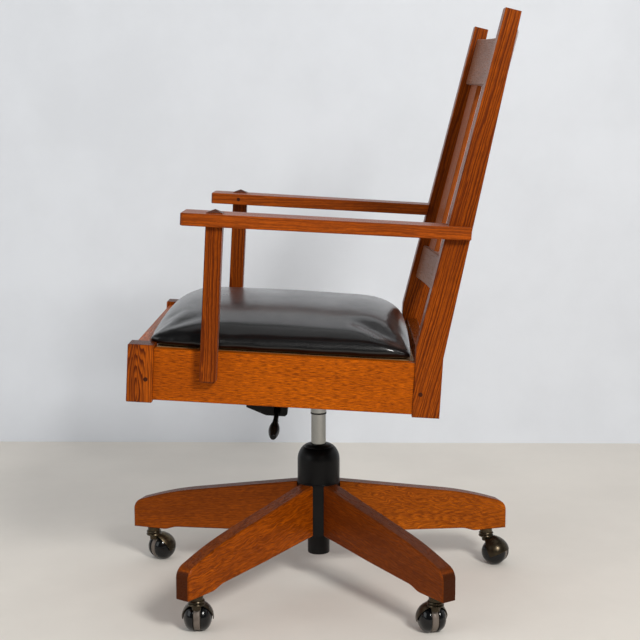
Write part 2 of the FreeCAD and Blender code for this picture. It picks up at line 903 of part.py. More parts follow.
def piston_rod():
    bottom = column_bottom_z + column_clip_recess - clip_thick - soft_gap
    shoulder_z = column_bottom_z + column_floor + bearing_thick + running_clearance
    shaft = drum([(piston_rod_radius, bottom), (piston_rod_radius, piston_rod_top_z)], ring_sides)
    head_z = piston_rod_top_z - piston_head
    head_radius = gas_tube_bore - running_clearance
    head = drum([(head_radius, head_z), (head_radius, head_z + piston_head)], ring_sides)
    wide = piston_shoulder_radius
    shoulder = drum([(wide, shoulder_z), (wide, shoulder_z + piston_shoulder)], ring_sides)
    return shaft.fuse([head, shoulder])


def retaining_clip():
    z1 = column_bottom_z + column_clip_recess - soft_gap
    return nut(piston_rod_radius, clip_radius - clip_gap, z1 - clip_thick, z1, bolt_sides)


def thrust_bearing():
    z0 = column_bottom_z + column_floor
    return nut(piston_rod_radius + soft_gap, bearing_radius, z0, z0 + bearing_thick, ring_sides)


def column_tube():
    foot = column_foot_radius
    low = column_bottom_z
    stations = [(foot, low), (foot, column_foot_top_z)]
    stations += [(column_radius, hub_bottom_z), (column_radius, column_top_z)]
    inner = column_radius - column_wall
    foot_inner = foot - column_wall
    floor = low + column_floor
    room = drum([(inner, hub_bottom_z), (inner, column_top_z)], column_sides)
    foot_room = drum([(foot_inner, floor), (foot_inner, hub_bottom_z)], column_sides)
    hole = upright_bore(piston_rod_radius + running_clearance, low, floor, ring_sides)
    recess = upright_bore(clip_radius, low, low + column_clip_recess, ring_sides)
    return drum(stations, column_sides).cut([room, foot_room, hole, recess])


def column_bushing():
    inner = gas_tube_radius + running_clearance
    return nut(inner, column_radius - column_wall, column_top_z - bushing_length, column_top_z, column_sides)


def bell_dome():
    start_z = bell_top_z - bell_dome_height
    stations = []
    for k in range(bell_dome_steps + 1):
        turn = pi / 2 * k / bell_dome_steps
        radius = bell_top_radius + (bell_radius - bell_top_radius) * cos(turn)
        stations.append((radius, start_z + bell_dome_height * sin(turn)))
    return stations


def column_sleeve():
    dome_z = bell_top_z - bell_dome_height
    stations = [(bell_lip_radius, bell_bottom_z), (bell_lip_radius, bell_bottom_z + bell_lip)]
    stations += [(bell_radius, bell_bottom_z + bell_lip)] + bell_dome()
    inner = bell_radius - bell_wall
    hollow = drum([(inner, bell_bottom_z), (inner, dome_z)], bell_sides)
    seat = column_radius + body_gap
    socket = drum([(seat, bell_bottom_z), (seat, column_top_z + body_gap)], column_sides)
    hole = upright_bore(bell_hole_radius, bell_bottom_z, bell_top_z, column_sides)
    return drum(stations, bell_sides).cut([hollow, socket, hole])


# Base
def hub():
    sides = 2 * leg_count
    body = upright_bore(hub_radius, hub_bottom_z, hub_top_z, sides)
    room = upright_bore(hub_radius - hub_wall, hub_bottom_z + hub_plate, hub_top_z - hub_plate, sides)
    seat_radius = column_radius + running_clearance
    seat = drum([(seat_radius, hub_bottom_z), (seat_radius, hub_top_z)], column_sides)
    return body.cut([room, seat] + leg_bolt_list())


def rounded(points, radii):
    edges = []
    ends = []
    count = len(points)
    for i in range(count):
        corner = points[i]
        back = (points[i - 1] - corner).normalize()
        ahead = (points[(i + 1) % count] - corner).normalize()
        half = back.getAngle(ahead) / 2
        reach = radii[i] / tan(half)
        middle = (back + ahead).normalize() * (radii[i] / sin(half) - radii[i])
        ends.append((corner + back * reach, corner + middle, corner + ahead * reach))
    for i in range(count):
        if radii[i] > 0:
            edges.append(arc(ends[i][0], ends[i][1], ends[i][2]))
        edges.append(line(ends[i][2], ends[(i + 1) % count][0]))
    return edges


def leg_profile():
    y = -leg_thick / 2
    root = hub_radius - leg_root_inset
    pad = leg_pad_z
    corners = [(root, hub_top_z + leg_root_rise, 0), (leg_knee_r, pad + leg_knee_rise, leg_knee_round)]
    corners += [(leg_end_r, pad + leg_toe_rise, leg_toe_round), (leg_end_r, pad, 0)]
    corners += [(leg_pad_inner_r, pad, leg_pad_round), (leg_arch_r, pad + leg_arch_rise, leg_arch_round)]
    corners += [(leg_belly_r, pad + leg_belly_rise, leg_belly_round), (root, hub_bottom_z + leg_root_lift, 0)]
    return rounded([V(r, y, z) for r, z, size in corners], [size for r, z, size in corners])


def leg_angle(i):
    return 180.0 + 360.0 * i / leg_count


def swung(shape, angle):
    placed = shape.copy()
    placed.rotate(V(0, 0, 0), V(0, 0, 1), angle)
    return placed


def socket_bore():
    low = V(caster_r, 0, leg_pad_z)
    return flat_rod(socket_radius, low, low + V(0, 0, socket_depth), peg_sides)


def base_leg(i):
    body = extruded(leg_profile(), V(0, leg_thick, 0))
    body = eased(body, leg_ease, lambda e: e.BoundBox.YLength < tiny and e.BoundBox.XMax > hub_radius)
    inside = slab((0, hub_radius), (-leg_thick, leg_thick), (0, bell_top_z))
    seat = bell_lip_radius + soft_gap
    round_seat = drum([(seat, hub_top_z), (seat, bell_top_z)], bell_sides)
    body = body.cut([inside, round_seat, socket_bore()] + leg_bolt_pair())
    return swung(body, leg_angle(i))


def leg_bolt(z):
    wall_r = hub_radius - hub_wall
    shank = flat_rod(bolt_radius, V(wall_r, 0, z), V(wall_r + bolt_length, 0, z), bolt_sides)
    head = flat_rod(bolt_head_radius, V(wall_r - bolt_head, 0, z), V(wall_r, 0, z), bolt_sides)
    return shank.fuse(head)


def leg_bolt_pair():
    return [leg_bolt(hub_bottom_z + bolt_inset), leg_bolt(hub_top_z - bolt_inset)]


def leg_bolt_list():
    return [swung(bolt, leg_angle(i)) for i in range(leg_count) for bolt in leg_bolt_pair()]


def caster_sockets():
    low = V(caster_r, 0, leg_pad_z)
    bore = flat_bore(stem_radius + running_clearance, low, low + V(0, 0, socket_depth), peg_sides)
    sleeve = socket_bore().cut(bore)
    return Part.Compound([swung(sleeve, leg_angle(i)) for i in range(leg_count)])


# Casters: the stem's axis at the origin, the wheels behind it along +x
def caster_place(shape, i):
    placed = swung(shape, caster_heading[i])
    angle = radians(leg_angle(i))
    placed.translate(V(caster_r * cos(angle), caster_r * sin(angle), 0))
    return placed


def wheel_drum(stations):
    stretch = 1.0 / cos(pi / wheel_sides)
    body = drum([(radius * stretch, y) for y, radius in stations], wheel_sides)
    body.rotate(V(0, 0, 0), V(1, 0, 0), -90.0)
    body.translate(V(trail, 0, wheel_radius))
    return body


def across(radius, reach, sides):
    return flat_rod(radius, V(trail, -reach, wheel_radius), V(trail, reach, wheel_radius), sides)


def caster_wheels(i):
    stations = [(wheel_inner_y, wheel_radius), (wheel_tread_y, wheel_radius)]
    stations += [(wheel_face_y, wheel_face_radius)]
    wheel = wheel_drum(stations)
    other = wheel.mirror(V(0, 0, 0), V(0, 1, 0))
    axle = across(caster_axle_radius, wheel_tread_y, ring_sides)
    return caster_place(wheel.fuse([other, axle]), i)


def hood_shell():
    inner = wheel_radius + hood_gap
    outer = inner + hood_wall
    side_in = hood_side_y - hood_wall
    shell = wheel_drum([(-hood_side_y, hood_side_radius), (-wheel_tread_y, outer), (wheel_tread_y, outer),
                        (hood_side_y, hood_side_radius)])
    hollow = wheel_drum([(-side_in, hood_side_radius), (-wheel_tread_y, inner), (wheel_tread_y, inner),
                         (side_in, hood_side_radius)])
    rim = hood_side_radius - hood_wall
    window = wheel_drum([(-hood_side_y, rim), (hood_side_y, rim)])
    room = 2 * (trail + outer)
    return shell.cut([hollow, window]).common(slab((-room, room), (-room, room), (hood_open_z, room)))


def caster_neck():
    top = leg_pad_z - body_gap
    ring_top = leg_pad_z - neck_ring_drop
    stations = [(neck_radius, neck_bottom_z), (neck_radius, ring_top)]
    stations += [(neck_waist_radius, ring_top + neck_waist), (neck_radius, ring_top + 2 * neck_waist)]
    stations += [(neck_radius, top)]
    stem = drum([(stem_radius, top), (stem_radius, top + stem_length)], peg_sides)
    neck = drum(stations, ring_sides)
    side = (wheel_inner_y - body_gap, hood_side_y - hood_wall)
    room = wheel_drum([(side[0], wheel_radius + hood_gap), (side[1], wheel_radius + hood_gap)])
    return neck.cut([room, room.mirror(V(0, 0, 0), V(0, 1, 0))]).fuse(stem)


def caster_hood(i):
    web = wheel_drum([(-caster_web_y, caster_web_radius), (caster_web_y, caster_web_radius)])
    arm_z = (wheel_radius, neck_bottom_z + hood_wall)
    web = web.fuse(slab((0, trail), (-caster_web_y, caster_web_y), arm_z))
    middle = V(trail, 0, wheel_radius)
    reach = V(0, caster_web_y + over, 0)
    bore = flat_bore(caster_axle_radius + wheel_bore_gap, middle - reach, middle + reach, ring_sides)
    return caster_place(hood_shell().fuse([caster_neck(), web]).cut(bore).removeSplitter(), i)


def main():
    os.makedirs("parts", exist_ok=True)
    for i in range(leg_count):
        save("base_leg_" + str(i + 1), base_leg(i))
        save("caster_hood_" + str(i + 1), caster_hood(i))
        save("caster_wheels_" + str(i + 1), caster_wheels(i))
    save("hub", hub())
    save("leg_bolts", Part.Compound(leg_bolt_list()))
    save("caster_sockets", caster_sockets())
    save("column_sleeve", column_sleeve())
    save("column_tube", column_tube())
    save("column_bushing", column_bushing())
    save("thrust_bearing", thrust_bearing())
    save("piston_rod", piston_rod())
    save("retaining_clip", retaining_clip())
    save("gas_tube", gas_tube())
    save("valve_pin", valve_pin())
    save("tilt_housing", seat_place(tilt_housing()))
    save("tilt_spring", seat_place(tilt_spring()))
    save("tilt_axle", seat_place(tilt_axle()))
    save("tilt_plate", seat_place(tilt_plate()))
    save("tension_knob", seat_place(tension_knob()))
    save("release_lever", seat_place(release_lever()))
    save("lever_grip", seat_place(lever_grip()))
    save("lever_pin", seat_place(lever_pin()))
    save("plate_screws", seat_place(Part.Compound(plate_screws())))
    save("battens", seat_place(battens().cut(plate_screws())))
    save("corner_blocks", seat_place(corner_blocks()))
    save("seat_board", seat_place(seat_board()))
    save("cushion", seat_place(cushion()))
    save("front_rail", seat_place(cross_rail(front_post_inner_x, front_rail_y)))
    save("back_rail", seat_place(cross_rail(rear_post_inner_x, back_rail_y)))
    save("side_rail_left", seat_place(side_rail()))
    save("side_rail_right", seat_place(mirrored(side_rail())))
    save("front_post_left", seat_place(front_post()))
    save("front_post_right", seat_place(mirrored(front_post())))
    save("rear_post_left", seat_place(rear_post()))
    save("rear_post_right", seat_place(mirrored(rear_post())))
    save("post_pegs", seat_place(Part.Compound([both_sides(front_peg()), both_sides(rear_peg())])))
    save("arm_left", seat_place(arm()))
    save("arm_right", seat_place(mirrored(arm())))
    save("arm_support_left", seat_place(arm_support().cut(arm_pin())))
    save("arm_support_right", seat_place(mirrored(arm_support().cut(arm_pin()))))
    save("arm_pins", seat_place(Part.Compound([both_sides(arm_pin()), both_sides(arm_dowel())])))
    lower_top = lower_rail_rise + lower_rail_height
    crest_top = crest_bottom_v + crest_height
    lower = back_member(lower_rail_rise, lower_top, back_tenons()[0])
    crest = back_member(crest_bottom_v, crest_top, back_tenons()[1])
    save("lower_back_rail", seat_place(back_place(lower)))
    save("crest_rail", seat_place(back_place(crest)))
    for i, x in enumerate(slat_centres()):
        save("back_slat_" + str(i + 1), seat_place(back_place(slat(x))))


main()
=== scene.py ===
import json
import logging
import math
from dataclasses import dataclass, field
from enum import Enum
from typing import Sequence

import bmesh
import bpy
from mathutils import Matrix, Vector


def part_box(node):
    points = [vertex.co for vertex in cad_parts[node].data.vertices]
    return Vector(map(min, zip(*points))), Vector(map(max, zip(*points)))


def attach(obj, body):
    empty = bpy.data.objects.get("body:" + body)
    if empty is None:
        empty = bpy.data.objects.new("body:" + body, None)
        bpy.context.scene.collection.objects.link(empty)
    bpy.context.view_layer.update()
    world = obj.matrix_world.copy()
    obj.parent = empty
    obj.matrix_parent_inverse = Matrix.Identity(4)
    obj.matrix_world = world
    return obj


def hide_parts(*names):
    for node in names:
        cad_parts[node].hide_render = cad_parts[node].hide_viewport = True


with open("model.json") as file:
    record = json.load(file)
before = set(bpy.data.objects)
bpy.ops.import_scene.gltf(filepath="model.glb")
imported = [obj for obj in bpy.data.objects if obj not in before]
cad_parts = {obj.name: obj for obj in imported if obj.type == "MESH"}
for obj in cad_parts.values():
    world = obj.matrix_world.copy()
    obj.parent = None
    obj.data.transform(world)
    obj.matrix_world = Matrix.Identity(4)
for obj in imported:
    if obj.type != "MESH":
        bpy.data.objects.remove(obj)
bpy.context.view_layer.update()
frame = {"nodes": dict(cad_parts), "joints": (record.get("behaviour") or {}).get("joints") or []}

MM = 0.001
WELD = 1e-6
UP = Vector((0, 0, 1))
# the seat's own axes: height of the rails' underside, the seat's slope, the back's lean from the seat
SEAT_HEIGHT = 0.395
SEAT_PITCH = math.radians(3.17)
BACK_LEAN = math.radians(10.8)
# sockets of the colour Mix node
MIX_FACTOR, MIX_FIRST, MIX_SECOND, MIX_RESULT = 0, 6, 7, 2
log = logging.getLogger("office_chair")

Colour = tuple[float, float, float]
Point = tuple[float, float, float]
Band = tuple[float, float]
Socket = bpy.types.NodeSocket
Node = bpy.types.Node
Tree = bpy.types.NodeTree
Material = bpy.types.Material
Object = bpy.types.Object


def shade(red: int, green: int, blue: int) -> Colour:
    """Turns a display colour into the linear colour that a shader takes.

    Args:
        red, green, blue: the channels, 0 to 255.

    Returns:
        The linear colour.
    """
    def channel(value: float) -> float:
        """One channel of the display curve."""
        return value / 12.92 if value <= 0.04045 else ((value + 0.055) / 1.055) ** 2.4
    return tuple(channel(value / 255) for value in (red, green, blue))


def seat_axis(x: float, y: float, z: float) -> Vector:
    """Turns a direction in the seat's own axes into the row frame."""
    c, s = math.cos(SEAT_PITCH), math.sin(SEAT_PITCH)
    return Vector((x, y * c + z * s, -y * s + z * c))


def seat_point(x: float, y: float, z: float) -> Vector:
    """Turns a point in the seat's own axes, in metres, into the row frame."""
    return seat_axis(x, y, z) + Vector((0, 0, SEAT_HEIGHT))


def back_axis(x: float, y: float, z: float) -> Vector:
    """Turns a direction laid out on the leaning back into the row frame."""
    c, s = math.cos(BACK_LEAN), math.sin(BACK_LEAN)
    return seat_axis(x, y * c + z * s, -y * s + z * c)


class Nodes:
    """A small writer of shader nodes in one tree."""

    def __init__(self, tree: Tree) -> None:
        """Keeps the tree that the nodes go into."""
        self.tree = tree

    def add(self, kind: str, links: dict | None = None, **settings: object) -> Node:
        """Adds a node, fills its inputs and sets its options.

        Args:
            kind: the node's type name after ShaderNode.
            links: input name or number to a socket or a value.
            **settings: the node's own options.

        Returns:
            The node.
        """
        node = self.tree.nodes.new("ShaderNode" + kind)
        for name, value in settings.items():
            setattr(node, name, value)
        return self.fill(node, links or {})

    def fill(self, node: Node, links: dict) -> Node:
        """Fills a node's inputs.

        Args:
            node: the node.
            links: input name or number to a socket or a value.

        Returns:
            The same node.
        """
        for key, value in links.items():
            target = node.inputs[key]
            if isinstance(value, Socket):
                self.tree.links.new(value, target)
            elif isinstance(value, tuple) and len(value) == 3 and target.type == "RGBA":
                target.default_value = (*value, 1.0)
            else:
                target.default_value = value
        return node

    def math(self, operation: str, a: object, b: object = 0.0, clamp: bool = False) -> Socket:
        """Adds a Math node and returns its result."""
        return self.add("Math", {0: a, 1: b}, operation=operation, use_clamp=clamp).outputs[0]

    def plus(self, a: object, b: object, clamp: bool = False) -> Socket:
        """Adds two values."""
        return self.math("ADD", a, b, clamp)

    def minus(self, a: object, b: object, clamp: bool = False) -> Socket:
        """Takes the second value from the first."""
        return self.math("SUBTRACT", a, b, clamp)

    def times(self, a: object, b: object) -> Socket:
        """Multiplies two values."""
        return self.math("MULTIPLY", a, b)

    def noise(self, vector: object, scale: float, detail: float, rough: float = 0.5) -> Socket:
        """Adds a Noise Texture and returns its value."""
        links = {"Vector": vector, "Scale": scale, "Detail": detail, "Roughness": rough}
        return self.add("TexNoise", links).outputs[0]

    def cells(self, vector: object, counts: Point, detail: float, rough: float = 0.5) -> Socket:
        """Noise with its own count of cells per metre along each axis."""
        stretched = self.add("VectorMath", {0: vector, 1: counts}, operation="MULTIPLY").outputs[0]
        return self.noise(stretched, 1.0, detail, rough)

    def dot(self, a: object, b: object) -> Socket:
        """The dot product of two vectors."""
        return self.add("VectorMath", {0: a, 1: b}, operation="DOT_PRODUCT").outputs["Value"]

    def ramp(self, value: object, low: float, high: float) -> Socket:
        """Spreads the band from low to high over 0 to 1, smoothly."""
        links = {"Value": value, "From Min": low, "From Max": high}
        return self.add("MapRange", links, interpolation_type="SMOOTHSTEP").outputs[0]

    def mix(self, factor: object, a: object, b: object) -> Socket:
        """Mixes two colours and returns the result."""
        node = self.add("Mix", data_type="RGBA", clamp_factor=True)
        return self.fill(node, {MIX_FACTOR: factor, MIX_FIRST: a, MIX_SECOND: b}).outputs[MIX_RESULT]

    def eased(self, radius: float, band: Band = (0.02, 0.3)) -> tuple[Socket, Socket]:
        """Rounds the shading over sharp edges.

        Args:
            radius: how wide the rounding is, in metres.
            band: the bend that the mask spreads over 0 to 1.

        Returns:
            The rounded normal, and a mask that is 1 on the edges.
        """
        bevel = self.add("Bevel", {"Radius": radius}, samples=4).outputs[0]
        flat = self.add("NewGeometry").outputs["Normal"]
        return bevel, self.ramp(self.minus(1.0, self.dot(bevel, flat)), *band)

    def surface(self, shader: Node, colour: object, effect: Node, bump: Band,
                normal: Socket | None = None) -> None:
        """Feeds a shader with a colour and with the roughness and relief of a shared effect.

        Args:
            shader: the Principled shader.
            colour: its base colour.
            effect: the effect's group node.
            bump: the relief's strength and its depth in metres.
            normal: what the relief starts from, where it isn't the plain surface.
        """
        links = {"Strength": bump[0], "Distance": bump[1], "Height": effect.outputs["Height"]}
        if normal is not None:
            links["Normal"] = normal
        relief = self.add("Bump", links).outputs[0]
        self.fill(shader, {"Base Color": colour, "Roughness": effect.outputs["Roughness"], "Normal": relief})

    def group(self, tree: Tree, links: dict) -> Node:
        """Places a node group and fills its inputs.

        Args:
            tree: the group.
            links: input name to a socket or a value.

        Returns:
            The group's node.
        """
        node = self.tree.nodes.new("ShaderNodeGroup")
        node.node_tree = tree
        return self.fill(node, links)


def open_group(name: str, inputs: Sequence[tuple[str, str]]) -> tuple[Nodes, bpy.types.NodeOutputs, Node]:
    """Starts a shader node group that puts out a colour, a roughness and a height.

    Args:
        name: the group's name.
        inputs: label and socket type of each input.

    Returns:
        The writer, what the group is given, and its output node.
    """
    tree = bpy.data.node_groups.new(name, "ShaderNodeTree")
    for label, kind in inputs:
        tree.interface.new_socket(label, in_out="INPUT", socket_type="NodeSocket" + kind)
    for label, kind in (("Color", "Color"), ("Roughness", "Float"), ("Height", "Float")):
        tree.interface.new_socket(label, in_out="OUTPUT", socket_type="NodeSocket" + kind)
    return Nodes(tree), tree.nodes.new("NodeGroupInput").outputs, tree.nodes.new("NodeGroupOutput")


def close_group(n: Nodes, end: Node, colour: Socket, rough: Socket, height: Socket) -> Tree:
    """Feeds a group's three outputs and returns its tree."""
    n.fill(end, {"Color": colour, "Roughness": rough, "Height": height})
    return n.tree


class Groups:
    """The shader effects that several finishes share, each built once.

    Cells are noise cells per metre: for oak along the grain, across it and through the board. The drift and
    the unevenness of the rings are in metres, and the rays' turn from the grain is in radians.
    """
    DRIFT_CELLS: Point = (2.0, 7.0, 7.0)
    WAVE_CELLS: Point = (26.0, 40.0, 40.0)
    UNEVEN_CELLS: Point = (2.0, 130.0, 130.0)
    FADE_CELLS: Point = (7.0, 60.0, 60.0)
    STREAK_CELLS: Point = (4.0, 460.0, 460.0)
    DASH_CELLS: Point = (72.0, 1000.0, 1000.0)
    FINE_CELLS: Point = (160.0, 1500.0, 1500.0)
    RAY_CELLS: Point = (48.0, 520.0, 90.0)
    TONE_CELLS: Point = (4.0, 18.0, 18.0)
    SCRATCH_CELLS: Point = (40.0, 900.0, 220.0)
    CREASE_CELLS: Point = (22.0, 46.0, 30.0)
    PULL_CELLS: Point = (9.0, 14.0, 9.0)
    CLOUD_CELLS, SPECK_CELLS = 18.0, 400.0
    PEBBLE_CELLS, DUST_CELLS = 620.0, 30.0
    DRIFT, UNEVEN = 0.035, 0.012
    RAY_TURN = 0.45
    OAK_ROUGHNESS = 0.27

    def __init__(self) -> None:
        """Builds every group."""
        self.grain = self._grain()
        self.mottle = self._mottle()
        self.hide = self._hide()

    def _grain(self) -> Tree:
        """Oak figure: growth rings round the heart line, streaks, dashes, pores and ray flecks; end grain darkened
        as stained wood, and upper faces darkened as painted shade.

        Returns:
            The group.
        """
        n, given, end = open_group("oak_grain", [
            ("Vector", "Vector"), ("Light", "Color"), ("Dark", "Color"), ("Streak", "Color"),
            ("Ring Spacing", "Float"), ("Ring Depth", "Float"), ("Tilt", "Float"), ("Fleck", "Float"),
            ("Dash", "Float"), ("Wave", "Float"), ("Stain", "Float")])
        v = given["Vector"]
        x, y, z = n.add("SeparateXYZ", {0: v}).outputs
        slow = n.minus(n.cells(v, self.DRIFT_CELLS, 3.0), 0.5)
        quick = n.minus(n.cells(v, self.WAVE_CELLS, 2.0), 0.5)
        depth = n.plus(n.plus(z, n.times(slow, self.DRIFT)), n.times(x, given["Tilt"]))
        across = n.plus(y, n.times(quick, given["Wave"]))
        radius = n.math("SQRT", n.plus(n.times(depth, depth), n.times(across, across)))
        uneven = n.minus(n.cells(v, self.UNEVEN_CELLS, 2.0), 0.5)
        radius = n.plus(radius, n.times(uneven, self.UNEVEN))
        phase = n.math("FRACT", n.math("DIVIDE", radius, given["Ring Spacing"]))
        ring = n.minus(n.ramp(phase, 0.2, 0.8), n.ramp(phase, 0.86, 1.0), True)
        fade = n.ramp(n.cells(v, self.FADE_CELLS, 2.0), 0.15, 0.5)
        ring = n.times(n.times(ring, fade), given["Ring Depth"])
        bent = n.add("CombineXYZ", {0: x, 1: across, 2: z}).outputs[0]
        streak = n.ramp(n.cells(bent, self.STREAK_CELLS, 4.0, 0.6), 0.38, 0.68)
        dash = n.ramp(n.cells(bent, self.DASH_CELLS, 2.0, 0.6), 0.42, 0.6)
        fine = n.ramp(n.cells(bent, self.FINE_CELLS, 1.0), 0.52, 0.66)
        turned = {"Vector": bent, "Rotation": (0.0, 0.0, self.RAY_TURN), "Scale": self.RAY_CELLS}
        slant = n.add("Mapping", turned).outputs[0]
        ray = n.times(n.ramp(n.noise(slant, 1.0, 3.0, 0.6), 0.42, 0.62), given["Fleck"])
        tone = n.ramp(n.cells(v, self.TONE_CELLS, 3.0), 0.3, 0.7)
        colour = n.mix(n.times(tone, 0.45), given["Light"], given["Dark"])
        fine_share = n.times(fine, n.times(given["Dash"], 0.5))
        # mixes in end grain darkened as stained wood and upper faces darkened as painted shade
        for share, tint in ((ring, "Dark"), (n.times(streak, 0.5), "Dark"), (ray, "Dark"),
                            (n.times(dash, given["Dash"]), "Streak"), (fine_share, "Streak"),
                            (given["Stain"], "Streak")):
            colour = n.mix(share, colour, given[tint])
        rough = n.minus(n.plus(self.OAK_ROUGHNESS, n.times(streak, 0.12)), n.times(ray, 0.05))
        low = n.plus(n.times(dash, 0.6), n.times(streak, 0.4))
        return close_group(n, end, colour, rough, n.minus(n.times(ray, 0.2), low))

    def _mottle(self) -> Tree:
        """Handling marks: large clouds, fine speckle and scratches, for metal and plastic.

        Returns:
            The group.
        """
        n, given, end = open_group("handling_marks", [
            ("Vector", "Vector"), ("Color", "Color"), ("Worn", "Color"), ("Wear", "Float"),
            ("Scale", "Float"), ("Rough", "Float")])
        v = n.add("VectorMath", {0: given["Vector"], 3: given["Scale"]}, operation="SCALE").outputs[0]
        cloud = n.noise(v, self.CLOUD_CELLS, 4.0, 0.6)
        speck = n.noise(v, self.SPECK_CELLS, 2.0)
        scratch = n.ramp(n.cells(v, self.SCRATCH_CELLS, 2.0), 0.66, 0.74)
        marks = n.plus(cloud, n.times(scratch, 0.15))
        worn = n.times(n.ramp(marks, 0.5, 0.72), given["Wear"])
        colour = n.mix(worn, given["Color"], given["Worn"])
        rough = n.plus(given["Rough"], n.times(n.minus(cloud, 0.5), 0.3))
        rough = n.plus(rough, n.times(scratch, 0.08), True)
        return close_group(n, end, colour, rough, n.plus(speck, n.times(scratch, -0.5)))

    def _hide(self) -> Tree:
        """Leather: pebbled grain, fine creases and a few soft pulls.

        Returns:
            The group.
        """
        n, given, end = open_group("hide_grain", [
            ("Vector", "Vector"), ("Color", "Color"), ("Dust", "Color"), ("Rough", "Float")])
        v = given["Vector"]
        cell = n.add("TexVoronoi", {"Vector": v, "Scale": self.PEBBLE_CELLS}, feature="DISTANCE_TO_EDGE")
        pebble = n.ramp(cell.outputs[0], 0.0, 0.12)
        folds = n.math("ABSOLUTE", n.minus(n.cells(v, self.CREASE_CELLS, 5.0, 0.6), 0.5))
        crease = n.ramp(folds, 0.0, 0.05)
        pull = n.cells(v, self.PULL_CELLS, 2.0)
        dust = n.ramp(n.noise(v, self.DUST_CELLS, 6.0, 0.7), 0.5, 0.8)
        colour = n.mix(n.times(dust, 0.35), given["Color"], given["Dust"])
        rough = n.plus(given["Rough"], n.times(n.minus(pull, 0.5), 0.22))
        soft = n.plus(n.times(crease, 0.25), n.times(pull, 2.6))
        height = n.plus(n.times(pebble, 0.10), soft)
        return close_group(n, end, colour, n.plus(rough, n.times(dust, 0.07)), height)


def new_material(name: str) -> tuple[Material, Nodes, Node, Socket]:
    """Starts a material.

    Args:
        name: the material's name.

    Returns:
        The material, its writer, its Principled shader and the Object coordinates.
    """
    material = bpy.data.materials.new(name)
    material.use_nodes = True
    writer = Nodes(material.node_tree)
    shader = material.node_tree.nodes["Principled BSDF"]
    place = writer.add("TexCoord").outputs["Object"]
    return material, writer, shader, place


@dataclass(frozen=True)
class Board:
    """How a piece was sawn: its grain and face directions, and where the heart of the tree lies."""
    grain: Vector
    face: Vector
    heart_across: float
    heart_deep: float


@dataclass(frozen=True)
class OakFinish:
    """Stained and oiled oak: three tones, then how the figure runs."""
    light: Colour
    dark: Colour
    streak: Colour
    ring_spacing: float = 0.0046
    ring_depth: float = 0.5
    tilt: float = 0.03
    fleck: float = 0.0
    dash: float = 0.4
    wave: float = 0.006
    # painted shade: how much darker the upper faces are drawn, standing in for light that falls from the side
    top_painted_shade: float = 0.0
    end_stain: float = 0.8
    sheen: float = 0.0
    edge_size: float = 0.0009
    # eased edges lightened in noisy spots: partly real wear, partly a painted highlight on the rounded edges
    edge_wear_and_highlight: float = 0.6
    end_band: Band = (0.6, 0.85)
    top_painted_shade_band: Band = (0.5, 0.85)
    edge_wear_and_highlight_cells: float = 60.0
    edge_wear_and_highlight_band: Band = (0.35, 0.65)
    bump: Band = (0.2, 0.0005)
    specular: float = 0.06
    sheen_roughness: float = 0.35

    def stain(self, n: Nodes, grain: Vector) -> Socket:
        """Darkens end grain, as the wood takes more staining there, and, on some pieces, the upper face, as
        painted shade.

        Args:
            n: the material's writer.
            grain: the direction of the grain.

        Returns:
            How far the wood goes towards its darkest tone, 0 to 1.
        """
        facing = n.add("TexCoord").outputs["Normal"]
        along = n.math("ABSOLUTE", n.dot(facing, tuple(grain)))
        up = n.add("SeparateXYZ", {0: facing}).outputs[2]
        end = n.times(n.ramp(along, *self.end_band), self.end_stain)
        # painted shade on the upper faces
        top = n.times(n.ramp(up, *self.top_painted_shade_band), self.top_painted_shade)
        return n.math("MAXIMUM", end, top)

    def build(self, name: str, groups: Groups, board: Board, centre: Vector) -> Material:
        """Makes the material of one board.

        Args:
            name: the material's name.
            groups: the shared effects.
            board: how the piece is sawn.
            centre: the middle of the piece.

        Returns:
            The material.
        """
        material, n, shader, place = new_material(name)
        grain = board.grain.normalized()
        face = (board.face - grain * board.face.dot(grain)).normalized()
        turn = Matrix((grain, face, grain.cross(face)))
        shift = Vector((0.0, board.heart_across, board.heart_deep)) - turn @ centre
        links = {"Vector": place, "Location": tuple(shift), "Rotation": tuple(turn.to_euler())}
        sawn = n.add("Mapping", links).outputs[0]
        oak = n.group(groups.grain, {"Vector": sawn, "Light": self.light, "Dark": self.dark,
                                     "Streak": self.streak, "Ring Spacing": self.ring_spacing,
                                     "Ring Depth": self.ring_depth, "Tilt": self.tilt, "Fleck": self.fleck,
                                     "Dash": self.dash, "Wave": self.wave, "Stain": self.stain(n, grain)})
        # lightens eased edges in noisy spots: partly real wear, partly a painted highlight
        soft, edge = n.eased(self.edge_size)
        edge_wear_and_highlight_patches = n.ramp(n.noise(place, self.edge_wear_and_highlight_cells, 3.0), *self.edge_wear_and_highlight_band)
        worn = n.times(edge, n.times(edge_wear_and_highlight_patches, self.edge_wear_and_highlight))
        n.surface(shader, n.mix(worn, oak.outputs["Color"], self.light), oak, self.bump, soft)
        n.fill(shader, {"Specular IOR Level": self.specular, "Sheen Weight": self.sheen,
                        "Sheen Roughness": self.sheen_roughness})
        return material


@dataclass(frozen=True)
class MarkedFinish:
    """Metal, plastic or rubber with handling marks; bump is the strength of its relief."""
    colour: Colour
    worn: Colour
    rough: float
    metallic: float = 0.0
    wear: float = 0.4
    scale: float = 1.0
    bump: float = 0.08
    coat: float = 0.0
    shine: float = 0.3
    edge_size: float = 0.0005
    relief: float = 0.0003

    def build(self, name: str, groups: Groups) -> Material:
        """Makes the material.

        Args:
            name: the material's name.
            groups: the shared effects.

        Returns:
            The material.
        """
        material, n, shader, place = new_material(name)
        marks = n.group(groups.mottle, {"Vector": place, "Color": self.colour, "Worn": self.worn,
                                        "Wear": self.wear, "Scale": self.scale, "Rough": self.rough})
        soft, edge = n.eased(self.edge_size)
        colour = n.mix(n.times(edge, self.wear), marks.outputs["Color"], self.worn)
        n.surface(shader, colour, marks, (self.bump, self.relief), soft)
        n.fill(shader, {"Metallic": self.metallic, "Specular IOR Level": self.shine, "Coat Weight": self.coat})
        return material


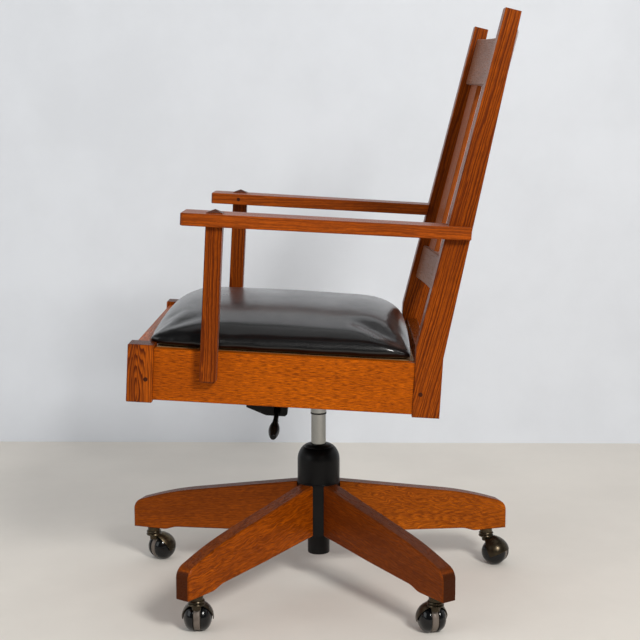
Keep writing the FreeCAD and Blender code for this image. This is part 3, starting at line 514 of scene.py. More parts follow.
@dataclass(frozen=True)
class LeatherFinish:
    """Black semi-gloss upholstery leather."""
    colour: Colour
    dust: Colour
    rough: float
    bump: Band = (0.35, 0.0015)
    specular: float = 0.2
    coat: float = 0.6
    coat_roughness: float = 0.16

    def build(self, name: str, groups: Groups) -> Material:
        """Makes the material.

        Args:
            name: the material's name.
            groups: the shared effects.

        Returns:
            The material.
        """
        material, n, shader, place = new_material(name)
        links = {"Vector": place, "Color": self.colour, "Dust": self.dust, "Rough": self.rough}
        hide = n.group(groups.hide, links)
        n.surface(shader, hide.outputs["Color"], hide, self.bump)
        n.fill(shader, {"Specular IOR Level": self.specular, "Coat Weight": self.coat,
                        "Coat Roughness": self.coat_roughness})
        return material


class Hardware(Enum):
    """The finishes of everything that isn't oak board or leather."""
    BLACK_METAL = MarkedFinish(shade(7, 7, 7), shade(22, 21, 20), 0.45, bump=0.12, shine=0.2)
    BLACK_PLASTIC = MarkedFinish(shade(6, 6, 7), shade(14, 14, 15), 0.36, wear=0.35, scale=0.7, bump=0.05,
                                 shine=0.18)
    CHROME = MarkedFinish(shade(150, 150, 147), shade(104, 103, 100), 0.16, metallic=1.0, wear=0.3, bump=0.02)
    STEEL = MarkedFinish(shade(150, 150, 152), shade(110, 108, 104), 0.38, metallic=1.0, wear=0.5, bump=0.05)
    BRONZE = MarkedFinish(shade(66, 58, 46), shade(120, 106, 80), 0.3, metallic=0.9, wear=0.45, scale=2.0,
                          bump=0.1)
    WHEEL = MarkedFinish(shade(6, 7, 9), shade(24, 23, 22), 0.16, wear=0.3, scale=3.0, bump=0.02, coat=0.2)
    BAND = MarkedFinish(shade(112, 102, 94), shade(80, 70, 62), 0.45, metallic=0.2, wear=0.7, scale=3.0, bump=0.1)
    RUBBER = MarkedFinish(shade(28, 28, 28), shade(52, 50, 48), 0.75, scale=1.5, bump=0.2)
    PEG = MarkedFinish(shade(58, 26, 12), shade(84, 40, 20), 0.5, wear=0.6, scale=3.0, bump=0.1, shine=0.08)


def dress(node: str, material: Material) -> None:
    """Gives a CAD node its material.

    Args:
        node: the node's name.
        material: the material.
    """
    mesh = frame["nodes"][node].data
    mesh.materials.clear()
    mesh.materials.append(material)


def middle(node: str) -> Vector:
    """The middle of a CAD node's box."""
    low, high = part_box(node)
    return (low + high) / 2


def new_mesh(name: str, build: bmesh.types.BMesh) -> bpy.types.Mesh:
    """Turns a bmesh into a mesh and frees it.

    Args:
        name: the mesh's name.
        build: the bmesh.

    Returns:
        The mesh.
    """
    mesh = bpy.data.meshes.new(name)
    build.to_mesh(mesh)
    build.free()
    return mesh


def new_object(name: str, data: bpy.types.ID) -> Object:
    """Makes an object and links it into the scene.

    Args:
        name: the object's name.
        data: its mesh, light or camera.

    Returns:
        The object.
    """
    made = bpy.data.objects.new(name, data)
    bpy.context.scene.collection.objects.link(made)
    return made


def finish_piece(name: str, build: bmesh.types.BMesh, material: Material, body: str,
                 smooth_angle: float = 40.0) -> Object:
    """Turns a bmesh into a piece that rides on a body.

    Args:
        name: the piece's name.
        build: the mesh, in the row frame; it is freed.
        material: the piece's material.
        body: the CAD body that it rides on.
        smooth_angle: edges sharper than this, in degrees, stay sharp.

    Returns:
        The piece.
    """
    bmesh.ops.remove_doubles(build, verts=build.verts, dist=WELD)
    bmesh.ops.recalc_face_normals(build, faces=build.faces)
    for face in build.faces:
        face.smooth = True
    for edge in build.edges:
        edge.smooth = len(edge.link_faces) == 2 and edge.calc_face_angle(0.0) < math.radians(smooth_angle)
    mesh = new_mesh(name, build)
    mesh.materials.append(material)
    piece = new_object(name, mesh)
    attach(piece, body)
    log.info("piece %s: %d faces on %s", name, len(mesh.polygons), body)
    return piece


class Oak(Enum):
    """How the chair's oak boards are stained and figured, with painted shade on some upper faces and painted
    reflection in the back's rails and slats.
    """
    HONEY = OakFinish(
        shade(200, 98, 8), shade(150, 66, 4), shade(88, 36, 4), ring_spacing=0.0034, ring_depth=0.25, tilt=0.0,
        dash=0.7, wave=0.003)
    AMBER = OakFinish(
        shade(192, 92, 6), shade(104, 42, 4), shade(62, 26, 6), ring_spacing=0.0042, ring_depth=0.25, tilt=0.02,
        fleck=0.75, dash=0.35, wave=0.02, top_painted_shade=0.55, end_stain=0.95)
    FIGURED = OakFinish(
        shade(198, 102, 16), shade(116, 50, 8), shade(66, 28, 6), ring_spacing=0.0034, ring_depth=0.6, tilt=0.14,
        fleck=0.2, wave=0.03, top_painted_shade=0.6)
    RUSSET = OakFinish(
        shade(170, 80, 10), shade(90, 34, 6), shade(56, 22, 6), ring_depth=0.95, tilt=0.02, dash=0.35,
        wave=0.003, top_painted_shade=0.1, sheen=0.05)
    TAWNY = OakFinish(
        shade(168, 78, 16), shade(112, 48, 10), shade(60, 25, 8), ring_spacing=0.0044, ring_depth=0.75, dash=0.3,
        wave=0.003, end_stain=0.6, sheen=0.02)
    CROWNED = OakFinish(
        shade(186, 90, 14), shade(84, 32, 8), shade(56, 22, 8), ring_spacing=0.0036, ring_depth=1.0, tilt=-0.18,
        dash=0.25, wave=0.002, top_painted_shade=0.3)
    BROWN = OakFinish(
        shade(166, 80, 14), shade(112, 50, 10), shade(60, 26, 8), ring_depth=0.4, fleck=0.3, top_painted_shade=0.6,
        end_stain=0.95)
    UMBER = OakFinish(
        shade(152, 72, 16), shade(92, 38, 10), shade(54, 24, 8), ring_depth=0.35, fleck=0.5, wave=0.012,
        top_painted_shade=0.6, end_stain=0.95)
    # painted reflection: the crest and lower rail, the same russet oak, are coloured paler and greyer to stand for
    # the wall's reflection at a grazing view
    GREY = OakFinish(
        shade(156, 96, 60), shade(116, 66, 40), shade(70, 36, 22), fleck=0.2, dash=0.3, wave=0.004,
        top_painted_shade=0.2, end_stain=0.5, sheen=0.22)
    # the slats' oak drawn lighter and greyer: partly their own tone, partly a painted reflection of the wall on
    # their faces
    TAN = OakFinish(
        shade(178, 92, 36), shade(132, 64, 22), shade(84, 38, 14), ring_spacing=0.0050, tilt=0.02, dash=0.3,
        wave=0.004, top_painted_shade=0.1, end_stain=0.6, sheen=0.2)
    INNER = OakFinish(shade(188, 152, 106), shade(156, 118, 78), shade(120, 86, 56), ring_spacing=0.006, fleck=0.1)


@dataclass
class Timber:
    """Every oak piece of the chair, each sawn its own way."""
    groups: Groups

    def board(self, node: str, finish: Oak, grain: Vector, face: Vector, across: float, deep: float) -> None:
        """Dresses one CAD node as a board.

        Args:
            node: the node's name.
            finish: the stain and figure.
            grain: direction of the grain.
            face: direction that the wide face looks in.
            across: how far the heart of the tree lies across that face, in metres.
            deep: how far it lies below that face, in metres.
        """
        sawn = Board(grain, face, across, deep)
        dress(node, finish.value.build(node + "_oak", self.groups, sawn, middle(node)))
        log.info("dressed %s as oak", node)

    def build(self) -> None:
        """Dresses the legs, the seat frame, the arms and the back."""
        x, y, z = seat_axis(1, 0, 0), seat_axis(0, 1, 0), seat_axis(0, 0, 1)
        lean, post_grain = back_axis(0, 0, 1), seat_axis(0, 0.22, 1)
        for i, look in enumerate((Oak.BROWN, Oak.BROWN, Oak.AMBER, Oak.UMBER, Oak.FIGURED)):
            angle = math.radians(180 + 72 * i)
            out = Vector((math.cos(angle), math.sin(angle), -0.12))
            across = 0.02 if look is Oak.FIGURED else 0.12 + 0.02 * (i + 1)
            self.board(f"base_leg_{i + 1}", look, out, UP, across, deep=0.03)
        self.board("side_rail_left", Oak.HONEY, y, z, across=0.16, deep=0.02)
        self.board("side_rail_right", Oak.HONEY, y, z, across=0.19, deep=0.03)
        self.board("front_rail", Oak.HONEY, x, z, across=0.17, deep=0.02)
        self.board("back_rail", Oak.AMBER, x, z, across=0.14, deep=0.04)
        for side, sign in (("left", 1), ("right", -1)):
            self.board(f"front_post_{side}", Oak.CROWNED, z, y, across=0.004 * sign, deep=0.014)
            self.board(f"rear_post_{side}", Oak.RUSSET, post_grain, y, across=0.07, deep=0.05)
            self.board(f"arm_support_{side}", Oak.RUSSET, z, y, across=0.05, deep=0.04)
            self.board(f"arm_{side}", Oak.TAWNY, y, x, across=0.01 * sign, deep=0.05)
        # the crest and lower rail are greyed by painted reflection
        self.board("crest_rail", Oak.GREY, x, lean, across=0.05, deep=0.06)
        self.board("lower_back_rail", Oak.GREY, x, lean, across=0.06, deep=0.05)
        # the slats are partly lightened as painted reflection
        for i in range(1, 6):
            self.board(f"back_slat_{i}", Oak.TAN, lean, x, across=0.02 * (i - 3), deep=0.04 + 0.01 * i)
        for node in ("battens", "corner_blocks"):
            self.board(node, Oak.INNER, x, z, across=0.05, deep=0.05)
        self.board("seat_board", Oak.INNER, x, y, across=0.0, deep=0.05)


@dataclass
class HardwareSet:
    """The metal, plastic and rubber CAD nodes."""
    groups: Groups
    made: dict[Hardware, Material] = field(default_factory=dict)
    finishes: dict[Hardware, list[str]] = field(default_factory=lambda: {
        Hardware.BLACK_METAL: ["hub", "column_tube", "tilt_housing", "tilt_plate", "release_lever", "tilt_axle",
                               "lever_pin"],
        Hardware.BLACK_PLASTIC: ["column_sleeve", "column_bushing", "tension_knob", "lever_grip"],
        Hardware.CHROME: ["gas_tube"],
        Hardware.STEEL: ["leg_bolts", "caster_sockets", "thrust_bearing", "piston_rod", "retaining_clip",
                         "valve_pin", "plate_screws"],
        Hardware.RUBBER: ["tilt_spring"],
        Hardware.PEG: ["post_pegs", "arm_pins"],
        Hardware.BRONZE: [f"caster_hood_{i}" for i in range(1, 6)],
        Hardware.WHEEL: [f"caster_wheels_{i}" for i in range(1, 6)]})

    def material(self, finish: Hardware) -> Material:
        """Gives the material of a finish, made once.

        Args:
            finish: the finish.

        Returns:
            The material.
        """
        if finish not in self.made:
            self.made[finish] = finish.value.build(finish.name.lower(), self.groups)
        return self.made[finish]

    def build(self) -> None:
        """Dresses every node in the list."""
        for finish, nodes in self.finishes.items():
            for node in nodes:
                dress(node, self.material(finish))
            log.info("dressed %d nodes as %s", len(nodes), finish.name.lower())


def spun(outline: Sequence[Band], steps: int, place: Matrix) -> bmesh.types.BMesh:
    """Turns a closed outline round the z axis and moves it to its place.

    Args:
        outline: radius and height of each corner, in millimetres.
        steps: how many facets a full turn has.
        place: where the turned shape goes, in metres.

    Returns:
        The bmesh.
    """
    build = bmesh.new()
    verts = [build.verts.new((r * MM, 0.0, h * MM)) for r, h in outline]
    edges = [build.edges.new((verts[i - 1], verts[i])) for i in range(len(verts))]
    bmesh.ops.spin(build, geom=verts + edges, cent=(0, 0, 0), axis=(0, 0, 1), angle=math.tau, steps=steps,
                   use_merge=True, use_duplicate=False)
    bmesh.ops.remove_doubles(build, verts=build.verts, dist=WELD)
    bmesh.ops.transform(build, matrix=place, verts=build.verts)
    return build


def rounded(r: float, h: float, size: float, start: float, steps: int = 3) -> list[Band]:
    """A quarter round on an outline.

    Args:
        r, h: radius and height of its centre, in millimetres.
        size: its radius, in millimetres.
        start: the angle that it starts at, in degrees.
        steps: how many parts it has.

    Returns:
        Its points, as radius and height.
    """
    turns = [math.radians(start + 90.0 * k / steps) for k in range(steps + 1)]
    return [(r + size * math.cos(t), h + size * math.sin(t)) for t in turns]


@dataclass
class Column:
    """The turned pieces of the column: bell cover, column body with its foot, the tube's dark ring.

    Lengths are in millimetres and angles in degrees; a step is a change of radius and a rise.
    """
    hardware: HardwareSet
    bell_bottom: float = 193.7
    bell_top: float = 268.9
    lip: float = 40.8
    lip_steps: tuple[Band, ...] = ((0.0, 2.2), (-0.2, 2.9))
    radius: float = 40.2
    wall_steps: tuple[Band, ...] = ((-0.5, 3.1), (0.0, 3.8))
    dome: float = 31.0
    dome_steps: int = 22
    bell_facets: int = 96
    bell_smooth: float = 28.0
    top_radius: float = 15.6
    hole: float = 14.8
    hole_ease: float = 0.6
    wall: float = 2.0
    ceiling_drop: float = 1.0
    groove_turn: float = 61.0
    groove_half: float = 3.0
    groove: float = 1.5
    foot_bottom: float = 55.0
    foot_radius: float = 21.0
    foot_round: float = 1.6
    foot_hole: float = 5.1
    foot_bore: float = 16.7
    foot_floor: float = 7.0
    foot_taper: float = 9.0
    column_radius: float = 25.0
    column_bore: float = 22.0
    column_top: float = 249.9
    column_room: float = 0.4
    column_gap: float = 0.5
    hub_bottom: float = 97.0
    ring_height: float = 328.4
    ring_half: float = 1.8
    ring_face: float = 1.4
    ring_swell: float = 1.1
    tube_radius: float = 14.0
    tube_gap: float = 0.02
    facets: int = 64
    column_smooth: float = 25.0

    def bell_outline(self) -> list[Band]:
        """The bell's section, from the lip over the dome and back inside.

        Returns:
            The outline, as radius and height.
        """
        base, bottom = self.bell_top - self.dome, self.bell_bottom
        points = [(self.lip, bottom)] + [(self.lip + r, bottom + h) for r, h in self.lip_steps]
        points += [(self.radius + r, bottom + h) for r, h in self.wall_steps] + [(self.radius, base)]
        for k in range(1, self.dome_steps):
            turn = math.radians(90.0 * k / self.dome_steps)
            cut = self.groove if abs(math.degrees(turn) - self.groove_turn) < self.groove_half else 0.0
            points.append((self.top_radius + (self.radius - self.top_radius - cut) * math.cos(turn),
                           base + (self.dome - cut) * math.sin(turn)))
        points += [(self.top_radius, self.bell_top), (self.hole, self.bell_top - self.hole_ease)]
        room, ceiling = self.column_radius + self.column_room, self.column_top + self.column_gap
        points += [(self.hole, self.column_top + self.hole_ease), (room, ceiling), (room, base)]
        inner = self.radius - self.wall
        return points + [(inner, base - self.ceiling_drop), (inner, bottom)]

    def column_outline(self) -> list[Band]:
        """The column's section: the foot below the hub, the wall up to the bell, and back inside.

        Returns:
            The outline, as radius and height.
        """
        low, wide, ease, hub = self.foot_bottom, self.foot_radius, self.foot_round, self.hub_bottom
        outline = [(self.foot_hole, low)] + rounded(wide - ease, low + ease, ease, -90.0)
        outline += [(wide, hub - self.foot_taper), (self.column_radius, hub)]
        outline += [(self.column_radius, self.column_top), (self.column_bore, self.column_top)]
        outline += [(self.column_bore, hub), (self.foot_bore, hub)]
        return outline + [(self.foot_bore, low + self.foot_floor), (self.foot_hole, low + self.foot_floor)]

    def ring_outline(self) -> list[Band]:
        """The section of the dark ring round the gas tube.

        Returns:
            The outline, as radius and height.
        """
        height = self.ring_height
        inner, outer = self.tube_radius + self.tube_gap, self.tube_radius + self.ring_swell
        return [(inner, height - self.ring_half), (outer, height - self.ring_face),
                (outer, height + self.ring_face), (inner, height + self.ring_half)]

    def build(self) -> None:
        """Builds the bell, the column with its foot, and the tube's ring."""
        level = Matrix()
        plastic = self.hardware.material(Hardware.BLACK_PLASTIC)
        bell = finish_piece("bell_cover", spun(self.bell_outline(), self.bell_facets, level), plastic, "base",
                            self.bell_smooth)
        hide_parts("column_sleeve")
        metal = self.hardware.material(Hardware.BLACK_METAL)
        column = finish_piece("column_body", spun(self.column_outline(), self.facets, level), metal, "base",
                              self.column_smooth)
        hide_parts("column_tube")
        rubber = self.hardware.material(Hardware.RUBBER)
        ring = spun(self.ring_outline(), self.facets, level)
        finish_piece("tube_ring", ring, rubber, "lift")


@dataclass
class Casters:
    """Five hooded ball casters, each with a ringed neck, a hood, a middle web and two half-ball wheels.

    Lengths are in millimetres. The neck's points are radius and drop from its top, the wheel's are radius and
    distance from the web's middle plane.
    """
    hardware: HardwareSet
    trail: float = 20.0
    centre: float = 25.0
    hood_radius: float = 27.9
    hood_facets: tuple[int, int] = (64, 40)
    hood_wall: float = 1.5
    cheek_drop: float = 6.0
    front_slope: float = 1.7
    rear_slope: float = 0.45
    swell: float = 6.5
    swell_turn: float = math.radians(37)
    swell_power: int = 3
    web_radius: float = 24.5
    web_half: float = 6.2
    web_ease: float = 1.5
    web_crown: float = 0.3
    web_hole: float = 3.4
    axle_radius: float = 3.0
    wheel_face: float = 6.6
    core: float = 0.01
    facets: int = 48
    neck_facets: int = 40
    smooth_angle: float = 50.0
    neck_smooth: float = 30.0
    neck_top: float = 70.6
    neck_points: tuple[Band, ...] = (
        (0.01, 0.0), (12.0, 0.0), (12.0, 8.0), (13.6, 8.6), (14.6, 10.2), (13.6, 12.0), (12.4, 12.6),
        (12.4, 13.2), (14.2, 13.8), (15.0, 15.6), (14.2, 17.4), (12.0, 18.2), (8.5, 19.5), (8.0, 26.0),
        (0.01, 26.0))
    wheel_points: tuple[Band, ...] = (
        (23.8, 6.6), (24.8, 7.0), (25.0, 7.8), (24.9, 9.4), (24.3, 12.0), (23.3, 14.4), (21.7, 16.9),
        (19.4, 19.1), (16.6, 21.0), (13.2, 22.6), (9.4, 23.9), (5.0, 24.7), (0.01, 24.9))

    def place(self, number: int) -> tuple[Matrix, Matrix]:
        """Finds where a caster stands.

        Args:
            number: the caster, 1 to 5.

        Returns:
            Its stem's place, and its wheels' place with z along the axle.
        """
        joints = {j["name"]: j for j in frame["joints"]}
        stem = Vector(joints[f"caster_swivel_{number}"]["pos_m"])
        roll = joints[f"wheel_roll_{number}"]
        axle = Vector(roll["axis"])
        back = axle.cross(UP)
        turn = Matrix((back, axle, UP)).transposed().to_4x4()
        upright = Matrix.Translation(Vector((stem.x, stem.y, 0))) @ turn
        flat = Matrix((UP, back, axle)).transposed().to_4x4()
        return upright, Matrix.Translation(Vector(roll["pos_m"])) @ flat

    def neck(self) -> list[Band]:
        """The neck's section: two rings over a tapered foot."""
        return [(radius, self.neck_top - drop) for radius, drop in self.neck_points]

    def wheel(self, with_axle: bool) -> list[Band]:
        """One half-ball wheel's section, the axle along z.

        Args:
            with_axle: whether the axle through the web is part of it.

        Returns:
            The outline, as radius and height.
        """
        face = self.wheel_face
        start = [(self.core, -face), (self.axle_radius, -face), (self.axle_radius, face)]
        return (start if with_axle else [(self.core, face)]) + list(self.wheel_points)

    def hood(self, upright: Matrix) -> bmesh.types.BMesh:
        """The hood: a ball shell, open in front, with a cheek down each side, made thick inwards.

        Args:
            upright: the stem's place.

        Returns:
            The bmesh.
        """
        build = bmesh.new()
        around, down = self.hood_facets
        bmesh.ops.create_uvsphere(build, u_segments=around, v_segments=down, radius=self.hood_radius * MM)
        towards = Vector((-math.sin(self.swell_turn), 0, math.cos(self.swell_turn)))
        for vertex in build.verts:
            share = max(0.0, vertex.co.dot(towards)) / (self.hood_radius * MM)
            vertex.co += towards * (self.swell * MM * share ** self.swell_power)
        for slope in (self.front_slope, -self.rear_slope):
            bmesh.ops.bisect_plane(build, geom=build.verts[:] + build.edges[:] + build.faces[:],
                                   plane_co=(0, 0, -self.cheek_drop * MM),
                                   plane_no=Vector((slope, 0, 1)).normalized(), clear_inner=True)
        bmesh.ops.recalc_face_normals(build, faces=build.faces)
        bmesh.ops.solidify(build, geom=build.faces[:], thickness=self.hood_wall * MM)
        ball = Matrix.Translation(Vector((self.trail, 0, self.centre)) * MM)
        bmesh.ops.transform(build, matrix=upright @ ball, verts=build.verts)
        return build

    def web(self, wheels: Matrix) -> bmesh.types.BMesh:
        """The web between the wheels, a disc with eased edges round the axle.

        Args:
            wheels: the wheels' place.

        Returns:
            The bmesh.
        """
        half, wide, ease = self.web_half, self.web_radius, self.web_ease
        outline = [(self.web_hole, -half), (wide - ease, -half), (wide, -half + ease)]
        outline += [(wide + self.web_crown, 0.0), (wide, half - ease), (wide - ease, half), (self.web_hole, half)]
        return spun(outline, self.facets, wheels)

    def build(self) -> None:
        """Builds the five casters."""
        bronze = self.hardware.material(Hardware.BRONZE)
        band = self.hardware.material(Hardware.BAND)
        black = self.hardware.material(Hardware.WHEEL)
        for number in range(1, 6):
            upright, wheels = self.place(number)
            body = f"caster_{number}"
            hood = finish_piece(f"caster_{number}_hood", self.hood(upright), bronze, body,
                                self.smooth_angle)
            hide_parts(f"caster_hood_{number}")
            neck = spun(self.neck(), self.neck_facets, upright)
            finish_piece(f"caster_{number}_neck", neck, bronze, body, self.neck_smooth)
            finish_piece(f"caster_{number}_web", self.web(wheels), band, body, self.smooth_angle)
            flip = wheels @ Matrix.Rotation(math.pi, 4, "X")
            for side, place in (("a", wheels), ("b", flip)):
                ball = spun(self.wheel(with_axle=side == "a"), self.facets, place)
                wheel = finish_piece(f"caster_{number}_wheel_{side}", ball, black, f"wheels_{number}")
                if side == "a":
                    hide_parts(f"caster_wheels_{number}")


@dataclass
class Grip:
    """The turned teardrop grip of the release lever; lengths are in millimetres."""
    hardware: HardwareSet
    start: Point = (130.0, -72.0, -57.47)
    end: Point = (215.0, -72.0, -67.0)
    bore: float = 4.55
    bore_depth: float = 11.2
    ferrule: tuple[Band, ...] = ((5.2, 0.3), (5.4, 1.5), (5.2, 3.2), (4.95, 5.0), (5.1, 9.0))
    neck: float = 5.1
    swell: float = 4.7
    late: float = 1.15
    full: float = 0.9
    steps: int = 12
    tip_room: float = 2.0
    tip_radius: float = 2.8
    tip_round: float = 2.6
    core: float = 0.01
    facets: int = 40

    def outline(self, length: float) -> list[Band]:
        """The grip's section: a small ferrule, then a swelling body with a round tip.

        Args:
            length: the grip's length, in millimetres.

        Returns:
            The outline, as radius and height.
        """
        body = self.ferrule[-1][1]
        points = [(self.bore, 0.0), *self.ferrule]
        for k in range(1, self.steps):
            share = k / self.steps
            swell = math.sin(math.pi * share ** self.late) ** self.full
            points.append((self.neck + self.swell * swell, body + (length - body - self.tip_room) * share))
        points += rounded(self.tip_radius, length - self.tip_round, self.tip_round, 0.0)[1:]
        return points + [(self.core, length), (self.core, self.bore_depth), (self.bore, self.bore_depth)]

    def build(self) -> None:
        """Builds the grip along the lever's line."""
        low, high = (seat_point(*(v * MM for v in point)) for point in (self.start, self.end))
        line = high - low
        place = Matrix.Translation(low) @ line.to_track_quat("Z", "Y").to_matrix().to_4x4()
        plastic = self.hardware.material(Hardware.BLACK_PLASTIC)
        body = spun(self.outline(line.length / MM), self.facets, place)
        grip = finish_piece("lever_handle", body, plastic, "lever")
        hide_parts("lever_grip")


@dataclass
class Cushion:
    """The leather seat cushion, blown up from the CAD solid's space; lengths are in metres."""
    groups: Groups
    weld: float = 1e-5
    voxel: float = 0.005
    cap: float = 0.006
    pressure: float = 4.0
    frames: int = 20
    stiffness: float = 20.0
    smooth_factor: float = 0.5
    first_smooth: int = 30
    soften: int = 38
    foot: float = 0.088
    foot_band: float = 0.004
    foot_lift: float = 0.0003
    finish: LeatherFinish = LeatherFinish(shade(5, 5, 6), shade(22, 22, 22), 0.32)

    def start_mesh(self) -> Object:
        """A copy of the CAD cushion, merged, remeshed and smoothed.

        Returns:
            The piece.
        """
        build = bmesh.new()
        build.from_mesh(frame["nodes"]["cushion"].data)
        bmesh.ops.remove_doubles(build, verts=build.verts, dist=self.weld)
        bmesh.ops.recalc_face_normals(build, faces=build.faces)
        piece = new_object("cushion_cover", new_mesh("cushion_cover", build))
        remesh = piece.modifiers.new("remesh", "REMESH")
        remesh.mode = "VOXEL"
        remesh.voxel_size = self.voxel
        self.apply(piece)
        self.smooth(piece, self.first_smooth)
        return piece

    def smooth(self, piece: Object, rounds: int) -> None:
        """Smooths a piece.

        Args:
            piece: the piece.
            rounds: how often.
        """
        smooth = piece.modifiers.new("smooth", "SMOOTH")
        smooth.factor = self.smooth_factor
        smooth.iterations = rounds
        self.apply(piece)

    def apply(self, piece: Object) -> None:
        """Makes a piece's modifiers part of its mesh.

        Args:
            piece: the piece.
        """
        graph = bpy.context.evaluated_depsgraph_get()
        graph.update()
        mesh = bpy.data.meshes.new_from_object(piece.evaluated_get(graph))
        piece.modifiers.clear()
        old = piece.data
        piece.data = mesh
        bpy.data.meshes.remove(old)

    def simulate(self, piece: Object) -> None:
        """Blows the cover up with cloth, and caps how far a point moves.

        Args:
            piece: the cover.
        """
        rest = [v.co.copy() for v in piece.data.vertices]
        foot = piece.vertex_groups.new(name="foot")
        floor = [v.index for v in piece.data.vertices if self.height(v.co) < self.foot + self.foot_band]
        foot.add(floor, 1.0, "REPLACE")
        cloth = piece.modifiers.new("cloth", "CLOTH")
        cloth.settings.use_pressure = True
        cloth.settings.uniform_pressure_force = self.pressure
        cloth.settings.effector_weights.gravity = 0.0
        cloth.settings.bending_stiffness = self.stiffness
        cloth.settings.vertex_group_mass = "foot"
        cloth.point_cache.frame_start = 1
        cloth.point_cache.frame_end = self.frames
        for number in range(1, self.frames + 1):
            bpy.context.scene.frame_set(number)
        self.apply(piece)
        for vertex, start in zip(piece.data.vertices, rest):
            move = vertex.co - start
            if move.length > self.cap:
                vertex.co = start + move.normalized() * self.cap
        bpy.context.scene.frame_set(1)
        self.smooth(piece, self.soften)

    def height(self, point: Vector) -> float:
        """Height of a point above the underside of the rails, in the seat's axes."""
        return (point - Vector((0, 0, SEAT_HEIGHT))).dot(seat_axis(0, 0, 1))

    def build(self) -> None:
        """Makes the cushion and rides it on the seat."""
        piece = self.start_mesh()
        self.simulate(piece)
        for vertex in piece.data.vertices:
            low = self.foot + self.foot_lift - self.height(vertex.co)
            if low > 0:
                vertex.co += seat_axis(0, 0, 1) * low
        divide = piece.modifiers.new("divide", "SUBSURF")
        divide.levels = 1
        divide.render_levels = 1
        self.apply(piece)
        for polygon in piece.data.polygons:
            polygon.use_smooth = True
        piece.data.materials.clear()
        piece.data.materials.append(self.finish.build("cushion_leather", self.groups))
        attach(piece, "seat")
        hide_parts("cushion")
        log.info("cushion: %d faces", len(piece.data.polygons))


@dataclass(frozen=True)
class Lamp:
    """A square area lamp: where it hangs, what it looks at, its side in metres, its power and colour."""
    name: str
    place: Point
    target: Point
    size: float
    power: float
    colour: Colour = (1.0, 1.0, 1.0)

    def hang(self) -> None:
        """Puts the lamp into the scene."""
        data = bpy.data.lights.new(self.name, "AREA")
        data.size = self.size
        data.energy = self.power
        data.color = self.colour
        lamp = new_object(self.name, data)
        lamp.location = self.place
        look = Vector(self.target) - Vector(self.place)
        lamp.rotation_euler = look.to_track_quat("-Z", "Y").to_euler()


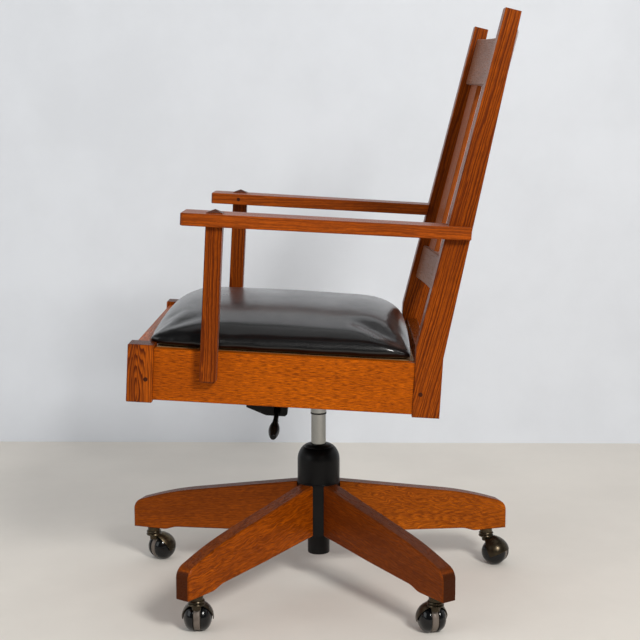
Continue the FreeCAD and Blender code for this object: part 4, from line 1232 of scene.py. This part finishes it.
@dataclass
class Studio:
    """Floor, wall, lamps and the camera at the photograph's angle."""
    floor: Colour = shade(226, 221, 213)
    wall: Colour = shade(226, 230, 236)
    clouding: float = 0.94
    cloud_noise: Point = (3.0, 5.0, 0.6)
    cloud_band: Band = (0.3, 0.7)
    paint_roughness: float = 0.9
    reach: float = 6.0
    wall_x: float = -1.09
    wall_height: float = 1.7
    lamps: tuple[Lamp, ...] = (
        Lamp("key", (2.6, 1.3, 2.15), (0, 0, 0.5), 0.7, 78.0, (1.0, 0.98, 0.95)),
        Lamp("top", (-0.2, 0.2, 3.0), (0, 0, 0.4), 2.2, 8.0),
        Lamp("fill", (1.6, -2.4, 1.4), (0, 0, 0.5), 1.8, 17.0, (0.95, 0.98, 1.0)))
    air: float = 0.42
    seen_air: float = 0.38
    gloss_air: float = 0.38
    gloss_dim: float = 0.72
    dim_side: Band = (-0.3, 0.5)
    dim_top: Band = (0.45, 0.9)
    camera_place: Point = (2.521, 0.0458, 0.8946)
    yaw: float = 0.017
    dip: float = 0.153
    roll: float = -0.001
    focal_px: float = 1360.0
    image_px: float = 640.0
    sensor: float = 36.0

    def paint(self, name: str, colour: Colour) -> Material:
        """A plain matt surface with faint clouds, seen only from its front.

        Args:
            name: the material's name.
            colour: its colour.

        Returns:
            The material.
        """
        material, n, shader, place = new_material(name)
        cloud = n.ramp(n.noise(place, *self.cloud_noise), *self.cloud_band)
        tint = tuple(c * self.clouding for c in colour)
        n.fill(shader, {"Base Color": n.mix(cloud, tint, colour), "Roughness": self.paint_roughness})
        clear = n.add("BsdfTransparent").outputs[0]
        facing = n.add("NewGeometry").outputs["Backfacing"]
        cover = n.add("MixShader", {0: facing, 1: shader.outputs[0], 2: clear}).outputs[0]
        n.fill(material.node_tree.nodes["Material Output"], {"Surface": cover})
        return material

    def sheet(self, name: str, corners: Sequence[Point], colour: Colour) -> None:
        """One flat stage surface through four corners.

        Args:
            name: the surface's name.
            corners: its corners, in metres.
            colour: its colour.
        """
        build = bmesh.new()
        build.faces.new([build.verts.new(c) for c in corners])
        mesh = new_mesh(name, build)
        mesh.materials.append(self.paint(name + "_paint", colour))
        new_object(name, mesh)

    def world(self) -> None:
        """Soft light from all round, brighter where the camera sees it and, on the camera's far side, gloss."""
        world = bpy.data.worlds.new("studio")
        bpy.context.scene.world = world
        world.use_nodes = True
        n = Nodes(world.node_tree)
        path = n.add("LightPath").outputs
        x, _, z = n.add("SeparateXYZ", {0: n.add("TexCoord").outputs["Generated"]}).outputs
        dim = n.math("MAXIMUM", n.ramp(x, *self.dim_side), n.ramp(z, *self.dim_top))
        gloss = n.times(path["Is Glossy Ray"], n.minus(self.gloss_air, n.times(dim, self.gloss_dim)))
        seen = n.math("MAXIMUM", path["Is Camera Ray"], path["Is Transmission Ray"])
        strength = n.plus(n.plus(self.air, gloss), n.times(seen, self.seen_air))
        n.fill(world.node_tree.nodes["Background"], {"Color": (1.0, 1.0, 1.0), "Strength": strength})

    def camera(self) -> None:
        """The camera, with the photograph's place, angle and field of view."""
        data = bpy.data.cameras.new("camera")
        data.sensor_width = self.sensor
        data.lens = self.focal_px * self.sensor / self.image_px
        camera = new_object("camera", data)
        level = math.cos(self.dip)
        look = Vector((-level * math.cos(self.yaw), -level * math.sin(self.yaw), -math.sin(self.dip)))
        right = look.cross(UP).normalized()
        up = right.cross(look)
        basis = Matrix((right, up, -look)).transposed()
        camera.location = self.camera_place
        camera.rotation_euler = (basis @ Matrix.Rotation(self.roll, 3, "Z")).to_euler()
        bpy.context.scene.camera = camera

    def build(self) -> None:
        """Builds the stage, the lights and the camera."""
        x, far, high = self.wall_x, self.reach, self.wall_height
        self.sheet("floor", [(-far, -far, 0), (far, -far, 0), (far, far, 0), (-far, far, 0)], self.floor)
        self.sheet("wall", [(x, -far, 0), (x, far, 0), (x, far, high), (x, -far, high)], self.wall)
        for lamp in self.lamps:
            lamp.hang()
        self.world()
        self.camera()
        bpy.context.scene.view_settings.view_transform = "Standard"


def main() -> None:
    """Builds the chair's looks in order."""
    logging.basicConfig(level=logging.INFO, format="%(message)s")
    groups = Groups()
    Timber(groups).build()
    hardware = HardwareSet(groups)
    hardware.build()
    Column(hardware).build()
    Casters(hardware).build()
    Grip(hardware).build()
    Cushion(groups).build()
    Studio().build()


if __name__ == "__main__":
    main()
